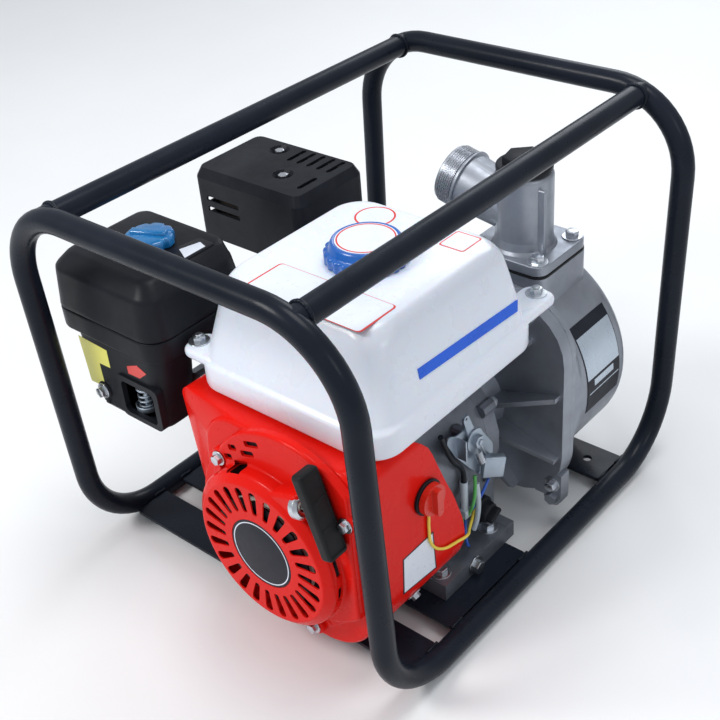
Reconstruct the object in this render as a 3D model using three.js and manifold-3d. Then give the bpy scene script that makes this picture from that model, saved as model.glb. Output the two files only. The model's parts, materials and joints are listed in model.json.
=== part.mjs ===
// Portable petrol-engine water pump in a tubular carrying frame.
// Millimetres. +Z is up, +Y runs along the crankshaft from the recoil starter to the pump,
// +X is to the right as seen from the starter. The origin is on the ground under the frame's middle.

import * as THREE from 'three';
import { mergeVertices } from 'three/addons/utils/BufferGeometryUtils.js';
import Module from 'manifold-3d';

const wasm = await Module();
wasm.setup();

// Fits shared by all pieces
const seatGap = 0.3;
const runningGap = 1;
const overrun = 5;
const bondDepth = 0.2;
const halfShare = 0.5;

// Tubular frame
const tubeDiameter = 22;
const hoopWidth = 383;
const hoopHeight = 383;
const frameLengthLow = 456;
const frameLengthHigh = 482;
const bendRadius = 78;
const topRailSpacing = 282;
const copeShare = 0.1;

// Cross plates between the bottom rails
const plateTop = 16;
const plateThickness = 4;
const starterPlateCentre = -170;
const starterPlateWidth = 40;
const enginePlateCentre = -67;
const enginePlateWidth = 120;
const pumpPlateCentre = 150;
const pumpPlateWidth = 46;
const plateHoleDiameter = 9;
const plateHoleInset = 38.5;
const plateCorner = 3;

// Engine datum: the crank axis, set in from the right-hand rail
const crankInset = 130.5;
const crankHeight = 106;
const ptoFaceY = 20;
const shaftDiameter = 28;
const shaftFront = -196;
const shaftBack = 116;
const shaftNoseShare = 0.6;
const shaftTailShare = 0.7;

// Crankcase and its side cover
const sideCoverDepth = 25;
const crankcaseDepth = 100;
const caseRadius = 76;
const footWidth = 192;
const footLength = 100;
const footHeight = 18;
const footBoltSpacingX = 162;
const footBoltSpacingY = 75.5;
const footBoltHole = 9;
const footBoltInsetY = 11;
const caseFlankShare = 0.9;
const deckLip = 5;
const sideFootDepth = 12;
const coverBossCount = 6;
const coverBossRadius = 7;
const hubRadius = 50;
const hubDepth = 7;
const bearingOuter = 52;
const bearingWidth = 15;

// Cylinder, inclined towards the air cleaner's side
const cylinderTilt = 25;
const cylinderY = -62;
const barrelStart = 70;
const barrelLength = 58;
const headLength = 48;
const rockerLength = 30;
const barrelRadius = 40;
const finWidth = 96;
const finDepth = 84;
const finThickness = 3;
const finPitch = 9;
const rockerWidth = 80;
const rockerDepth = 70;
const finCorner = 10;
const headFinShare = 0.8;
const rockerLip = 4;
const portBossRadius = 19;

// Spark plug in the underside of the head
const plugShellRadius = 9;
const plugShellLength = 14;
const plugCoreRadius = 5.5;
const plugTipShare = 0.6;
const plugLength = 42;
const plugPocket = 12;

// Fan cover
const fanCoverFront = -208;
const fanCoverBack = -86;
const fanCoverWall = 3;
const fanCoverRadius = 99;
const fanCoverFrontLeft = 78;
const fanCoverFrontLeftRadius = 40;
const fanCoverFrontRadius = 25;
const fanCoverBackLeft = 122;
const fanCoverBackRadius = 12;
const fanCoverBlend = 14;
const fanCoverRoll = 4;
const fanCoverLapShare = 0.3;
const fanCoverGap = 3;
const fanCoverFootGap = 13;
const fanCoverCornerRadius = 62;
const fanInletRadius = 74;

// Recoil starter housing
const recoilDepth = 26;
const recoilWall = 3;
const recoilEdge = 3;
const recoilKneeShare = 0.25;
const recoilRadius = 79;
const recoilFaceRadius = 68.5;
const recoilFlangeRadius = 92;
const recoilSlotCount = 24;
const recoilSlotInner = 43;
const recoilSlotOuter = 65;
const recoilSlotNarrow = 5;
const recoilSlotWide = 8;
const badgeRadius = 35;
const badgeDepth = 1;
const shoulderRadius = 95;
const shoulderShiftX = 24;
const shoulderShiftZ = 27;
const shoulderRise = 8;
const shoulderSlotLength = 17;
const shoulderSlotHeight = 5;
const shoulderSlotPitch = 16;
const shoulderSlotStartShares = [-2.6, -1.3];
const sideSlotLength = 16;
const sideSlotWidth = 5;
const sideSlotPitch = 9;
const sideSlotAngles = [-7, 23];
const spindleRadius = 7;
const spindleOver = 2;
const slotRoundShare = 0.45;

// Starter rope, reel and grip
const ropeDiameter = 5;
const ropeAngle = 18;
const reelRadius = 54;
const reelDrumRadius = 44;
const reelWidth = 10;
const reelCheek = 1.8;
const ropeLineRadius = 53.5;
const beakStart = 45;
const beakWidth = 26;
const eyeletDepth = 8;
const eyeletBoreShare = 0.8;
const gripLength = 84;
const gripThickness = 20;
const gripShift = 4;
const gripDepth = 22;
const gripCentreReach = 95;
const gripEnd = 7;
const gripRib = 4;
const gripPanelDepth = 3;
const gripPanelShare = 0.29;
const gripRopeDepth = 14;
const eyeletReach = 72;
const eyeletRadius = 11;

// Flywheel and starter cup
const flywheelRadius = 72;
const flywheelFront = -168;
const flywheelDepth = 30;
const flywheelHubRadius = 24;
const flywheelWeb = 5;
const flywheelRim = 10;
const fanBladeLean = 20;
const fanBladeCount = 12;
const fanBladeDepth = 20;
const fanBladeThickness = 2.5;
const fanBladeInner = 44;
const cupRadius = 36;
const cupDepth = 20;
const cupWall = 2.5;
const cupWindowCount = 4;
const cupWindowWidth = 14;
const cupWindowShare = 0.35;
const flywheelNutWidth = 24;
const flywheelNutHeight = 10;

// Fuel tank
const tankReachLeft = 109;
const tankReachRight = 104;
const tankFront = -188;
const tankBack = 38;
const tankBottom = 214;
const tankBandHeight = 26;
const tankBandStep = 4;
const tankHeight = 99;
const tankTopInsetLeft = 6;
const tankTopInsetRight = 22;
const tankTopInsetFront = 30;
const tankTopInsetBack = 5;
const tankCornerRadius = 28;
const tankCrownRadius = 14;
const tankNeckShift = 5;
const tankNeckY = -63;
const tankNeckBore = 38;
const tankNeckDepth = 60;
const tankNeckOuter = 50;
const tankNeckRise = 5;
const tankEarWidth = 34;
const tankEarThickness = 9;
const tankEarRound = 12;
const tankEarReachLeft = 18;
const tankEarReachBack = 36;
const tankShoulderShare = 0.8;
const crownDropShare = 0.35;

// Fuel cap
const capDiameter = 75;
const capHeight = 20;
const capKnurls = 22;
const capKnurlDepth = 1.5;
const capRoll = 4;
const capLipShare = 0.55;

// Carburettor between the head and the air cleaner
const carbWidth = 44;
const carbDepth = 38;
const carbHeight = 46;
const carbBowlRadius = 19;
const carbBowlHeight = 26;
const insulatorDepth = 8;
const carbShift = 11;
const carbBoreShare = 0.45;
const carbCoreShare = 0.4;
const leverThickness = 2.5;
const leverLength = 26;
const leverWidth = 11;
const leverTipShare = 0.7;
const leverRoundShare = 0.45;
const chokeAngle = 162;

// Air cleaner
const cleanerReach = 275;
const cleanerWidth = 144;
const cleanerFront = -208;
const cleanerBack = -84;
const cleanerCoverHeight = 54;
const cleanerBandOverPort = 59.8;
const cleanerBand = 22;
const cleanerTopInset = 3;
const cleanerBackInset = 5;
const cleanerChamfer = 13;
const cleanerCorner = 22;
const cleanerWall = 3;
const cleanerBottom = 150;
const cleanerBottomInsetLeft = 30;
const cleanerBottomInsetRight = 12;
const cleanerBodyDepth = 56;
const cleanerLugRadius = 9;
const cleanerStudRadius = 3;
const plungerRadius = 13;
const plungerFlange = 3;
const plungerStem = 4;
const cleanerWindowWidth = 56;
const cleanerWindowHeight = 34;
const wingNutRadius = 23;
const wingNutHeight = 14;
const wingNutNotchCount = 8;
const wingNutNotchDepth = 2.5;
const wingNutShiftX = 5;
const wingNutShiftY = 6;
const wingNutBarWidth = 9;
const gripBarShare = 0.8;
const knobRimShare = 0.7;

// Muffler and its guard
const guardReach = 283;
const guardWidth = 146;
const guardFront = -10;
const guardBack = 88;
const guardTop = 309;
const guardHeight = 76;
const guardWall = 2;
const guardChamfer = 10;
const guardCorner = 10;
const guardSlotCount = 5;
const guardSlotWidth = 5;
const guardSlotLength = 28;
const guardSlotPitch = 13.2;
const guardSlotInset = 8;
const guardScrewDish = 12;
const guardScrewShares = [[-0.158, 0.292], [0.14, -0.126]];
const guardLoneSlotInset = 20;
const guardVentDrop = 28;
const guardVentPitch = 11.7;
const guardVentHeight = 5;
const guardVentLength = 45;
const guardVentInset = 17;
const guardVentRowCount = 4;
const mufflerGuardGap = 8;
const mufflerRoll = 6;
const mufflerInset = 12;
const mufflerPipeRadius = 14;

// Controls on the right-hand wall of the crankcase
const controlWallGap = 3;
const governorShaftY = -18;
const governorShaftHeight = 104;
const throttleShaftY = -38;
const throttleShaftHeight = 142;
const controlPlateThickness = 2;
const controlNutWidth = 14;
const bracketWidth = 24;
const bracketEnd = 11;
const bracketBossRadius = 6;
const bracketBossShares = [0.4, 1.1];
const pivotRadius = 3;
const pivotLength = 8;
const throttleLength = 34;
const throttleTailLength = 20;
const throttleAngle = 20;
const governorLength = 30;
const governorAngle = -126;

// Engine switch on the fan cover's right-hand side
const switchY = -128;
const switchHeight = 146;
const switchKnobRadius = 15;
const switchKnobLength = 12;
const switchRingRadius = 17;
const switchRingDepth = 3;
const switchHandleWidth = 8;

// Leads
const yellowLeadDiameter = 2;
const leadBundleDiameter = 5;
const leadSides = 6;
const leadSteps = 18;
const leadEndHeight = 68;
const leadLowHeight = 57;
const leadEndReach = 86;
const sleeveY = -51;
const sleeveHigh = 100;
const sleeveLow = 68;
const sleeveRadius = 4;
const connectorSize = 10;
const bundleEndY = -95;
const bundleEndHeight = 184;

// Oil filler and drains
const oilCapRadius = 14;
const oilCapLength = 16;
const oilCapFlangeShare = 0.4;
const oilCapTopShare = 0.75;
const oilCapEar = 5;
const oilNeckHeight = 46;
const oilNeckY = -23;
const oilNeckRadius = 15;
const oilNeckLength = 8;
const drainBoltRadius = 8;

// Pump adapter between the engine and the casing
const adapterRimFront = 58;
const adapterRimDepth = 14;
const rimHalfWidth = 117;
const rimHalfHeight = 111;
const rimRise = 17;
const rimCorner = 58;
const adapterRibCount = 10;
const adapterRibThickness = 5;
const adapterWall = 6;
const adapterNeckShare = 0.9;
const ribEndShare = 0.6;
const ribInset = 4;
const lugRadius = 10;
const lugReachX = 107;
const lugDrop = 88;
const rimBoltAngles = [45, 90, 135];

// Pump casing
const casingEndY = 186;
const casingEndRadius = 113;
const casingRise = 8;
const casingWall = 8;
const casingRound = 12;
const casingCavityRadius = 95;
const casingFootWidth = 110;
const casingFootLength = 34;
const casingBlend = 34;
const fullRoundShare = 0.98;
const cornerDropShare = 0.3;
const neckWall = 8;
const drainDrop = -78;
const drainBossRadius = 14;

// Discharge side
const neckShift = 24;
const neckHalfWidth = 45;
const neckFront = 92;
const neckBack = 176;
const neckTop = 236;
const neckCorner = 12;
const gasketThickness = 2;
const elbowFlangeThickness = 10;
const portOuterDiameter = 60;
const portBoreDiameter = 46;
const elbowTop = 325;
const dischargeTilt = 14;
const dischargeY = 131;
const dischargeCentreHeight = 280;
const dischargeReach = 87;
const columnRadius = 28;
const throatRadius = 34;
const throatShare = 0.9;
const coneEndRadius = 24;
const threadDepth = 1.4;
const threadPitch = 5;
const threadTurnCount = 3;
const threadCrestShare = 0.5;
const threadRootShare = 0.85;
const ridgeRise = 4;
const collarRise = 1.5;
const collarDepth = 3;
const elbowRound = 5;
const elbowDomeShare = 0.3;
const primingPlugRadius = 27;
const primingPlugHeight = 14;
const primingPlugHex = 42;
const primingBore = 20;

// Suction side
const suctionRise = 26;
const suctionFlangeRadius = 46;
const suctionFlangeThickness = 9;
const suctionLength = 30;
const flapRadius = 29;
const flapThickness = 4;
const flapPinRadius = 2.5;
const flapKnuckleRadius = 5;
const flapKnuckleHalf = 9;
const flapLug = 5;
const suctionBoltCount = 4;
const suctionBoltShare = 0.84;

// Impeller, volute and seal
const impellerRadius = 62;
const impellerFront = 90;
const impellerDepth = 20;
const impellerVaneCount = 5;
const impellerEye = 24;
const voluteOuter = 86;
const voluteWall = 5;
const voluteFront = 80;
const voluteDepth = 40;
const sealRadius = 22;
const sealNoseShare = 0.75;
const eyeHubShare = 0.65;
const vaneSweep = 75;
const vaneThickness = 4;
const vaneShare = 0.9;
const vanePointCount = 5;

// Fasteners
const frameBoltHead = 13;
const frameBoltHeadHeight = 5.5;
const smallHead = 10;
const smallHeadHeight = 4;
const washerThickness = 1.5;

// Facet counts
const tubeSides = 12;
const bendSteps = 5;
const roundSides = 24;
const hiddenSides = 16;
const smallSides = 10;
const cornerSteps = 4;
const rimSteps = 6;
const recoilSides = 36;

// Places that follow from the sizes above
const crankX = hoopWidth / 2 - crankInset;
const tankLeft = crankX - tankReachLeft;
const tankRight = crankX + tankReachRight;
const tankNeckX = crankX - tankNeckShift;
const cleanerLeft = crankX - cleanerReach;
const cleanerRight = cleanerLeft + cleanerWidth;
const guardLeft = crankX - guardReach;
const guardRight = guardLeft + guardWidth;
const neckX = crankX + neckShift;
const engineFoot = plateTop + seatGap;
const crankZ = engineFoot + crankHeight;
const railZ = tubeDiameter / 2;
const barZ = railZ + hoopHeight;
const caseBack = ptoFaceY - sideCoverDepth;
const caseFront = caseBack - crankcaseDepth;
const recoilFront = fanCoverFront - recoilDepth;
const fanCoverTop = tankBottom - crankHeight - seatGap;
const reelFront = recoilFront + recoilWall + runningGap;
const ropeY = reelFront + reelWidth / 2;
const cupFront = flywheelFront - fanBladeDepth - cupDepth;
const rimBack = adapterRimFront + adapterRimDepth;
const controlWallX = crankX + caseRadius + controlWallGap;
const portReach = barrelStart + barrelLength + headLength / 2;
const portHeight = crankHeight + portReach * Math.sin(THREE.MathUtils.degToRad(cylinderTilt));
const cleanerBandLow = portHeight + cleanerBandOverPort;
const cleanerSeam = cleanerBandLow + cleanerBand;
const cleanerTop = cleanerSeam + cleanerCoverHeight;
const up = new THREE.Vector3(0, 0, 1);
const across = new THREE.Vector3(1, 0, 0);
const along = new THREE.Vector3(0, 1, 0);

const pump = new THREE.Group();
const crank = new THREE.Group();
crank.position.set(crankX, 0, crankZ);
pump.add(crank);

// Materials
function finish(color, roughness, metalness) {
  return new THREE.MeshStandardMaterial({ color, roughness, metalness });
}
const blackPaint = finish(0x1b1e26, 0.35, 0.1);
const redPaint = finish(0xd01a12, 0.3, 0.1);
const castAluminium = finish(0x9a9da3, 0.5, 0.8);
const darkCasting = finish(0x6d7077, 0.55, 0.7);
const zincSteel = finish(0xc4c8cc, 0.3, 0.9);
const darkSteel = finish(0x3a3c40, 0.45, 0.8);
const blackPlastic = finish(0x23252b, 0.5, 0);
const whitePlastic = finish(0xe8ebf2, 0.35, 0);
const bluePlastic = finish(0x1768b8, 0.4, 0);
const redPlastic = finish(0xc8261c, 0.4, 0);
const blackRubber = finish(0x17181a, 0.8, 0);
const yellowInsulation = finish(0xe8d040, 0.5, 0);
const whiteRope = finish(0xd8d6cc, 0.9, 0);
const bronzeGrey = finish(0x8a8478, 0.5, 0.6);

function add(name, geometry, material, parent = pump) {
  const mesh = new THREE.Mesh(geometry, material);
  mesh.name = name;
  parent.add(mesh);
  return mesh;
}

// Joining and cutting closed meshes
function solidOf(geometry) {
  const bare = new THREE.BufferGeometry();
  bare.setAttribute('position', geometry.getAttribute('position').clone());
  if (geometry.index) bare.setIndex(geometry.index.clone());
  const merged = mergeVertices(bare);
  const corners = merged.index.array;
  const triangles = [];
  for (let i = 0; i < corners.length; i += 3) {
    const [a, b, c] = corners.slice(i, i + 3);
    if (a !== b && b !== c && c !== a) triangles.push(a, b, c);
  }
  return new wasm.Manifold(new wasm.Mesh({
    numProp: 3,
    vertProperties: new Float32Array(merged.getAttribute('position').array),
    triVerts: new Uint32Array(triangles),
  }));
}

function geometryOf(solid) {
  const mesh = solid.getMesh();
  const geometry = new THREE.BufferGeometry();
  geometry.setAttribute('position', new THREE.BufferAttribute(mesh.vertProperties, 3));
  geometry.setIndex(new THREE.BufferAttribute(mesh.triVerts, 1));
  return geometry;
}

function join(...geometries) {
  return geometryOf(geometries.map(solidOf).reduce((sum, next) => sum.add(next)));
}

function cut(body, ...tools) {
  return geometryOf(tools.map(solidOf).reduce((rest, tool) => rest.subtract(tool), solidOf(body)));
}

function overlap(a, b) {
  return geometryOf(solidOf(a).intersect(solidOf(b)));
}

// Basic solids
function block([x0, x1], [y0, y1], [z0, z1]) {
  const box = new THREE.BoxGeometry(x1 - x0, y1 - y0, z1 - z0);
  return box.translate((x0 + x1) / 2, (y0 + y1) / 2, (z0 + z1) / 2);
}

function bar(radius, from, to, sides = smallSides) {
  const reach = new THREE.Vector3().subVectors(to, from);
  const rod = new THREE.CylinderGeometry(radius, radius, reach.length(), sides);
  const turn = new THREE.Quaternion().setFromUnitVectors(along, reach.clone().normalize());
  const middle = new THREE.Vector3().addVectors(from, to).multiplyScalar(0.5);
  return rod.applyQuaternion(turn).translate(middle.x, middle.y, middle.z);
}

function point(x, y, z) {
  return new THREE.Vector3(x, y, z);
}

// A profile of [radius, height] pairs turned round the Y axis, or round Z.
// It runs from low to high on the outside, and back down on the inside where it is hollow.
function turned(profile, sides = roundSides) {
  return new THREE.LatheGeometry(profile.map(([r, y]) => new THREE.Vector2(r, y)), sides);
}

function turnedUp(profile, sides = roundSides) {
  return turned(profile, sides).rotateX(Math.PI / 2);
}

// An outline in X and Z pushed along Y
function alongY(outline, y0, y1, holes = []) {
  const shape = new THREE.Shape(outline);
  shape.holes = holes.map((hole) => new THREE.Path(hole));
  const solid = new THREE.ExtrudeGeometry(shape, { depth: y1 - y0, bevelEnabled: false });
  return solid.rotateX(Math.PI / 2).translate(0, y1, 0);
}

// An outline in X and Y pushed along Z
function alongZ(outline, z0, z1, holes = []) {
  const shape = new THREE.Shape(outline);
  shape.holes = holes.map((hole) => new THREE.Path(hole));
  const solid = new THREE.ExtrudeGeometry(shape, { depth: z1 - z0, bevelEnabled: false });
  return solid.translate(0, 0, z0);
}

// An outline in Y and Z pushed along X
function alongX(outline, x0, x1) {
  const shape = new THREE.Shape(outline);
  const solid = new THREE.ExtrudeGeometry(shape, { depth: x1 - x0, bevelEnabled: false });
  solid.applyMatrix4(new THREE.Matrix4().makeBasis(along, up, across));
  return solid.translate(x0, 0, 0);
}

// A polygon whose corners are [u, v, radius], each rounded with the same number of points
function roundedOutline(corners, steps = cornerSteps) {
  const count = corners.length;
  const points = [];
  corners.forEach(([u, v, radius], i) => {
    const corner = new THREE.Vector2(u, v);
    const before = new THREE.Vector2(...corners[(i + count - 1) % count]).sub(corner).normalize();
    const after = new THREE.Vector2(...corners[(i + 1) % count]).sub(corner).normalize();
    const halfAngle = Math.acos(THREE.MathUtils.clamp(before.dot(after), -1, 1)) / 2;
    const setback = radius / Math.tan(halfAngle);
    const middle = before.clone().add(after).normalize().multiplyScalar(radius / Math.sin(halfAngle));
    const centre = corner.clone().add(middle);
    const first = before.multiplyScalar(setback).add(corner).sub(centre);
    const last = after.multiplyScalar(setback).add(corner).sub(centre);
    const sweep = Math.atan2(first.cross(last), first.dot(last));
    for (let step = 0; step <= steps; step += 1) {
      points.push(first.clone().rotateAround(new THREE.Vector2(), sweep * step / steps).add(centre));
    }
  });
  return points;
}

function rectangle(u0, u1, v0, v1, radius, steps = cornerSteps) {
  return roundedOutline([[u0, v0, radius], [u1, v0, radius], [u1, v1, radius], [u0, v1, radius]], steps);
}

function circle(u, v, radius, sides = roundSides) {
  const ring = Array.from({ length: sides }, (_, i) => 2 * Math.PI * (i + 0.5) / sides);
  return ring.map((a) => new THREE.Vector2(u + radius * Math.cos(a), v + radius * Math.sin(a)));
}

// Outlines with the same number of points, skinned one to the next along Z
function loft(sections) {
  const count = sections[0].outline.length;
  const vertices = [];
  const triangles = [];
  sections.forEach(({ outline, at }) => outline.forEach((p) => vertices.push(p.x, p.y, at)));
  for (let layer = 0; layer + 1 < sections.length; layer += 1) {
    for (let i = 0; i < count; i += 1) {
      const low = layer * count + i;
      const lowNext = layer * count + (i + 1) % count;
      triangles.push(low, lowNext, low + count, lowNext, lowNext + count, low + count);
    }
  }
  const last = (sections.length - 1) * count;
  THREE.ShapeUtils.triangulateShape(sections[0].outline, []).forEach(([a, b, c]) => triangles.push(a, c, b));
  THREE.ShapeUtils.triangulateShape(sections.at(-1).outline, []).forEach(([a, b, c]) => {
    triangles.push(last + a, last + b, last + c);
  });
  const geometry = new THREE.BufferGeometry();
  geometry.setAttribute('position', new THREE.Float32BufferAttribute(vertices, 3));
  geometry.setIndex(triangles);
  return geometry;
}

// The same along Y: outlines in X and Z, given from the lowest Y to the highest
function loftY(sections) {
  const turnedSections = sections.map(({ outline, at }) => ({ outline, at: -at })).reverse();
  return loft(turnedSections).rotateX(Math.PI / 2);
}

// A path of straight runs and bends of one radius
class BentPath extends THREE.Curve {
  constructor(corners, radius, steps = bendSteps) {
    super();
    this.stations = [];
    corners.forEach((corner, i) => {
      if (i === 0 || i === corners.length - 1) {
        const other = i === 0 ? corners[1] : corners[i - 1];
        const heading = new THREE.Vector3().subVectors(other, corner).normalize();
        this.stations.push({ at: corner, heading: i === 0 ? heading : heading.negate() });
        return;
      }
      const into = new THREE.Vector3().subVectors(corner, corners[i - 1]).normalize();
      const out = new THREE.Vector3().subVectors(corners[i + 1], corner).normalize();
      const angle = into.angleTo(out);
      const axis = new THREE.Vector3().crossVectors(into, out).normalize();
      const start = corner.clone().addScaledVector(into, -radius * Math.tan(angle / 2));
      const inward = new THREE.Vector3().crossVectors(axis, into);
      const centre = start.clone().addScaledVector(inward, radius);
      for (let step = 0; step <= steps; step += 1) {
        const turn = new THREE.Quaternion().setFromAxisAngle(axis, angle * step / steps);
        const arm = inward.clone().multiplyScalar(-radius).applyQuaternion(turn);
        this.stations.push({ at: arm.add(centre), heading: into.clone().applyQuaternion(turn) });
      }
    });
  }

  get steps() {
    return this.stations.length - 1;
  }

  getPointAt(share) {
    return this.stations[Math.round(share * this.steps)].at.clone();
  }

  getTangentAt(share) {
    return this.stations[Math.round(share * this.steps)].heading.clone();
  }
}

// A round tube whose flats touch the stated diameter
function tube(path, diameter, sides = tubeSides, steps = path.steps) {
  const section = circle(0, 0, diameter / 2 / Math.cos(Math.PI / sides), sides);
  return new THREE.ExtrudeGeometry(new THREE.Shape(section), { steps, extrudePath: path });
}

// A hexagon head or nut on a plane, pointing along a direction
function hexHead(across_, height, from, direction) {
  return bar(across_ / 2, from, from.clone().addScaledVector(direction, height), 6);
}

// Frame: two bent hoops that meet in the middle of the bottom rails, and two straight top rails
const hoopPaths = {};
function hoopPath(end) {
  const halfWidth = hoopWidth / 2;
  return new BentPath([
    point(-halfWidth, end * seatGap / 2, railZ),
    point(-halfWidth, end * frameLengthLow / 2, railZ),
    point(-halfWidth, end * frameLengthHigh / 2, barZ),
    point(halfWidth, end * frameLengthHigh / 2, barZ),
    point(halfWidth, end * frameLengthLow / 2, railZ),
    point(halfWidth, end * seatGap / 2, railZ),
  ], bendRadius);
}

function buildFrame() {
  for (const [name, end] of [['hoop_starter_end', -1], ['hoop_pump_end', 1]]) {
    hoopPaths[name] = hoopPath(end);
    add(name, tube(hoopPaths[name], tubeDiameter), blackPaint);
  }
  const copes = Object.values(hoopPaths).map((path) => tube(path, tubeDiameter + 2 * seatGap));
  const bendCentreX = hoopWidth / 2 - bendRadius;
  const railX = topRailSpacing / 2;
  const topRailZ = barZ - bendRadius + Math.sqrt(bendRadius ** 2 - (railX - bendCentreX) ** 2);
  const reach = frameLengthHigh / 2 - tubeDiameter * copeShare;
  for (const [name, side] of [['top_rail_left', -1], ['top_rail_right', 1]]) {
    const ends = [point(side * railX, -reach, topRailZ), point(side * railX, reach, topRailZ)];
    const rail = tube(new BentPath(ends, bendRadius), tubeDiameter);
    add(name, cut(rail, ...copes), blackPaint);
  }
}

function plateHoles(holes) {
  return holes.map(([x, y, radius]) => circle(x, y, radius, smallSides));
}

function buildCrossPlates() {
  const halfLength = (hoopWidth - tubeDiameter) / 2 - seatGap;
  const holeX = hoopWidth / 2 - plateHoleInset;
  const boltX = [crankX - footBoltSpacingX / 2, crankX + footBoltSpacingX / 2];
  const boltY = [caseBack - footBoltInsetY, caseBack - footBoltInsetY - footBoltSpacingY];
  const plates = [
    ['cross_plate_starter_end', starterPlateCentre, starterPlateWidth, []],
    ['engine_plate', enginePlateCentre, enginePlateWidth,
      boltX.flatMap((x) => boltY.map((y) => [x, y, footBoltHole / 2]))],
    ['cross_plate_pump_end', pumpPlateCentre, pumpPlateWidth,
      [-1, 1].map((side) => [side * holeX, pumpPlateCentre, plateHoleDiameter / 2])],
  ];
  for (const [name, centre, width, holes] of plates) {
    const outline = rectangle(-halfLength, halfLength, centre - width / 2, centre + width / 2,
      plateCorner, 1);
    add(name, alongZ(outline, plateTop - plateThickness, plateTop, plateHoles(holes)), blackPaint);
  }
}

// Crankcase: a round case on a wide foot, open for the shaft and its bearings
function caseOutlineSolid(radius, y0, y1) {
  const footTop = -crankHeight + footHeight;
  return join(
    alongY(circle(0, 0, radius), y0, y1),
    block([-radius * caseFlankShare, radius * caseFlankShare], [y0, y1], [footTop - overrun, 0]),
  );
}

function buildCrankcase() {
  const footTop = -crankHeight + footHeight;
  const footCentreY = caseBack - footBoltInsetY - footBoltSpacingY / 2;
  const foot = block([-footWidth / 2, footWidth / 2],
    [footCentreY - footLength / 2, caseBack], [-crankHeight, footTop]);
  const deck = overlap(
    bar(barrelRadius + deckLip, point(0, cylinderY, 0), cylinderPoint(barrelStart - seatGap), roundSides),
    block([-hoopWidth, 0], [caseFront, caseBack], [-crankHeight, hoopHeight]),
  );
  const boltHoles = [-1, 1].flatMap((side) => [-1, 1].map((end) => bar(footBoltHole / 2,
    point(side * footBoltSpacingX / 2, footCentreY + end * footBoltSpacingY / 2, -crankHeight - overrun),
    point(side * footBoltSpacingX / 2, footCentreY + end * footBoltSpacingY / 2, footTop + overrun))));
  const bearingSeat = bearingOuter / 2 + seatGap;
  const caseBody = cut(
    join(caseOutlineSolid(caseRadius, caseFront, caseBack), foot, deck, ...wallBosses()),
    bar(shaftDiameter / 2 + runningGap, point(0, caseFront - overrun, 0), point(0, overrun, 0), roundSides),
    bar(bearingSeat, point(0, caseFront - overrun, 0), point(0, caseFront + bearingWidth, 0), roundSides),
    laidOver(block([-finWidth, finWidth], [-finDepth, finDepth], [-seatGap, barrelLength]), barrelStart),
    ...boltHoles,
  );
  add('crankcase', caseBody, castAluminium, crank);

  const flangeFoot = block([-footWidth / 2, footWidth / 2],
    [caseBack + seatGap, caseBack + sideFootDepth], [-crankHeight, footTop]);
  const cover = cut(
    join(
      caseOutlineSolid(caseRadius, caseBack + seatGap, ptoFaceY - hubDepth),
      flangeFoot,
      alongY(circle(0, 0, hubRadius), ptoFaceY - hubDepth - overrun, ptoFaceY),
      ...coverBosses(),
    ),
    bar(shaftDiameter / 2 + runningGap, point(0, caseBack - overrun, 0),
      point(0, ptoFaceY + overrun, 0), roundSides),
    bar(bearingSeat, point(0, caseBack - overrun, 0),
      point(0, caseBack + seatGap + bearingWidth, 0), roundSides),
  );
  add('crankcase_side_cover', cover, castAluminium, crank);

  const bearing = (y) => turned([
    [shaftDiameter / 2 + seatGap, y], [bearingOuter / 2, y],
    [bearingOuter / 2, y + bearingWidth - seatGap],
    [shaftDiameter / 2 + seatGap, y + bearingWidth - seatGap],
    [shaftDiameter / 2 + seatGap, y],
  ], hiddenSides);
  add('main_bearing_starter_side', bearing(caseFront + seatGap / 2), zincSteel, crank);
  add('main_bearing_pump_side', bearing(caseBack + seatGap), zincSteel, crank);
}

// Bosses on the right-hand wall: two for the control bracket and the neck of the oil filler
function wallBosses() {
  const inside = caseRadius * caseFlankShare - overrun;
  const bosses = bracketBossShares.map((share) => {
    const y = governorShaftY + (throttleShaftY - governorShaftY) * share;
    const z = governorShaftHeight + (throttleShaftHeight - governorShaftHeight) * share - crankHeight;
    return bar(bracketBossRadius, point(inside, y, z), point(controlWallX - crankX, y, z));
  });
  const neckZ = oilNeckHeight - crankHeight;
  const neck = bar(oilNeckRadius, point(inside, oilNeckY, neckZ),
    point(caseRadius * caseFlankShare + oilNeckLength, oilNeckY, neckZ), roundSides / 2);
  return [...bosses, neck];
}

// Screw bosses round the side cover's rim
function coverBosses() {
  return Array.from({ length: coverBossCount }, (_, i) => {
    const angle = 2 * Math.PI * (i + 0.5) / coverBossCount;
    const reach = caseRadius;
    const x = reach * Math.cos(angle);
    const z = reach * Math.sin(angle);
    return bar(coverBossRadius, point(x, caseBack + seatGap, z), point(x, ptoFaceY - hubDepth, z), 8);
  });
}

// A point on the cylinder's axis, at a distance from the crank
function cylinderPoint(distance) {
  const tilt = THREE.MathUtils.degToRad(cylinderTilt);
  return point(-distance * Math.cos(tilt), cylinderY, distance * Math.sin(tilt));
}

// Cylinder parts are made upright round Z and laid over onto the cylinder's axis
function laidOver(geometry, distance) {
  const tilt = THREE.MathUtils.degToRad(cylinderTilt);
  const foot = cylinderPoint(distance);
  return geometry.rotateY(tilt - Math.PI / 2).translate(foot.x, foot.y, foot.z);
}

function finStack(core, length, halfX, halfY, corner) {
  const count = Math.floor((length - finThickness) / finPitch) + 1;
  const outline = rectangle(-halfX, halfX, -halfY, halfY, corner, 1);
  const fins = Array.from({ length: count }, (_, i) => (
    alongZ(outline, i * finPitch, i * finPitch + finThickness)));
  return join(core, ...fins);
}

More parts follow.
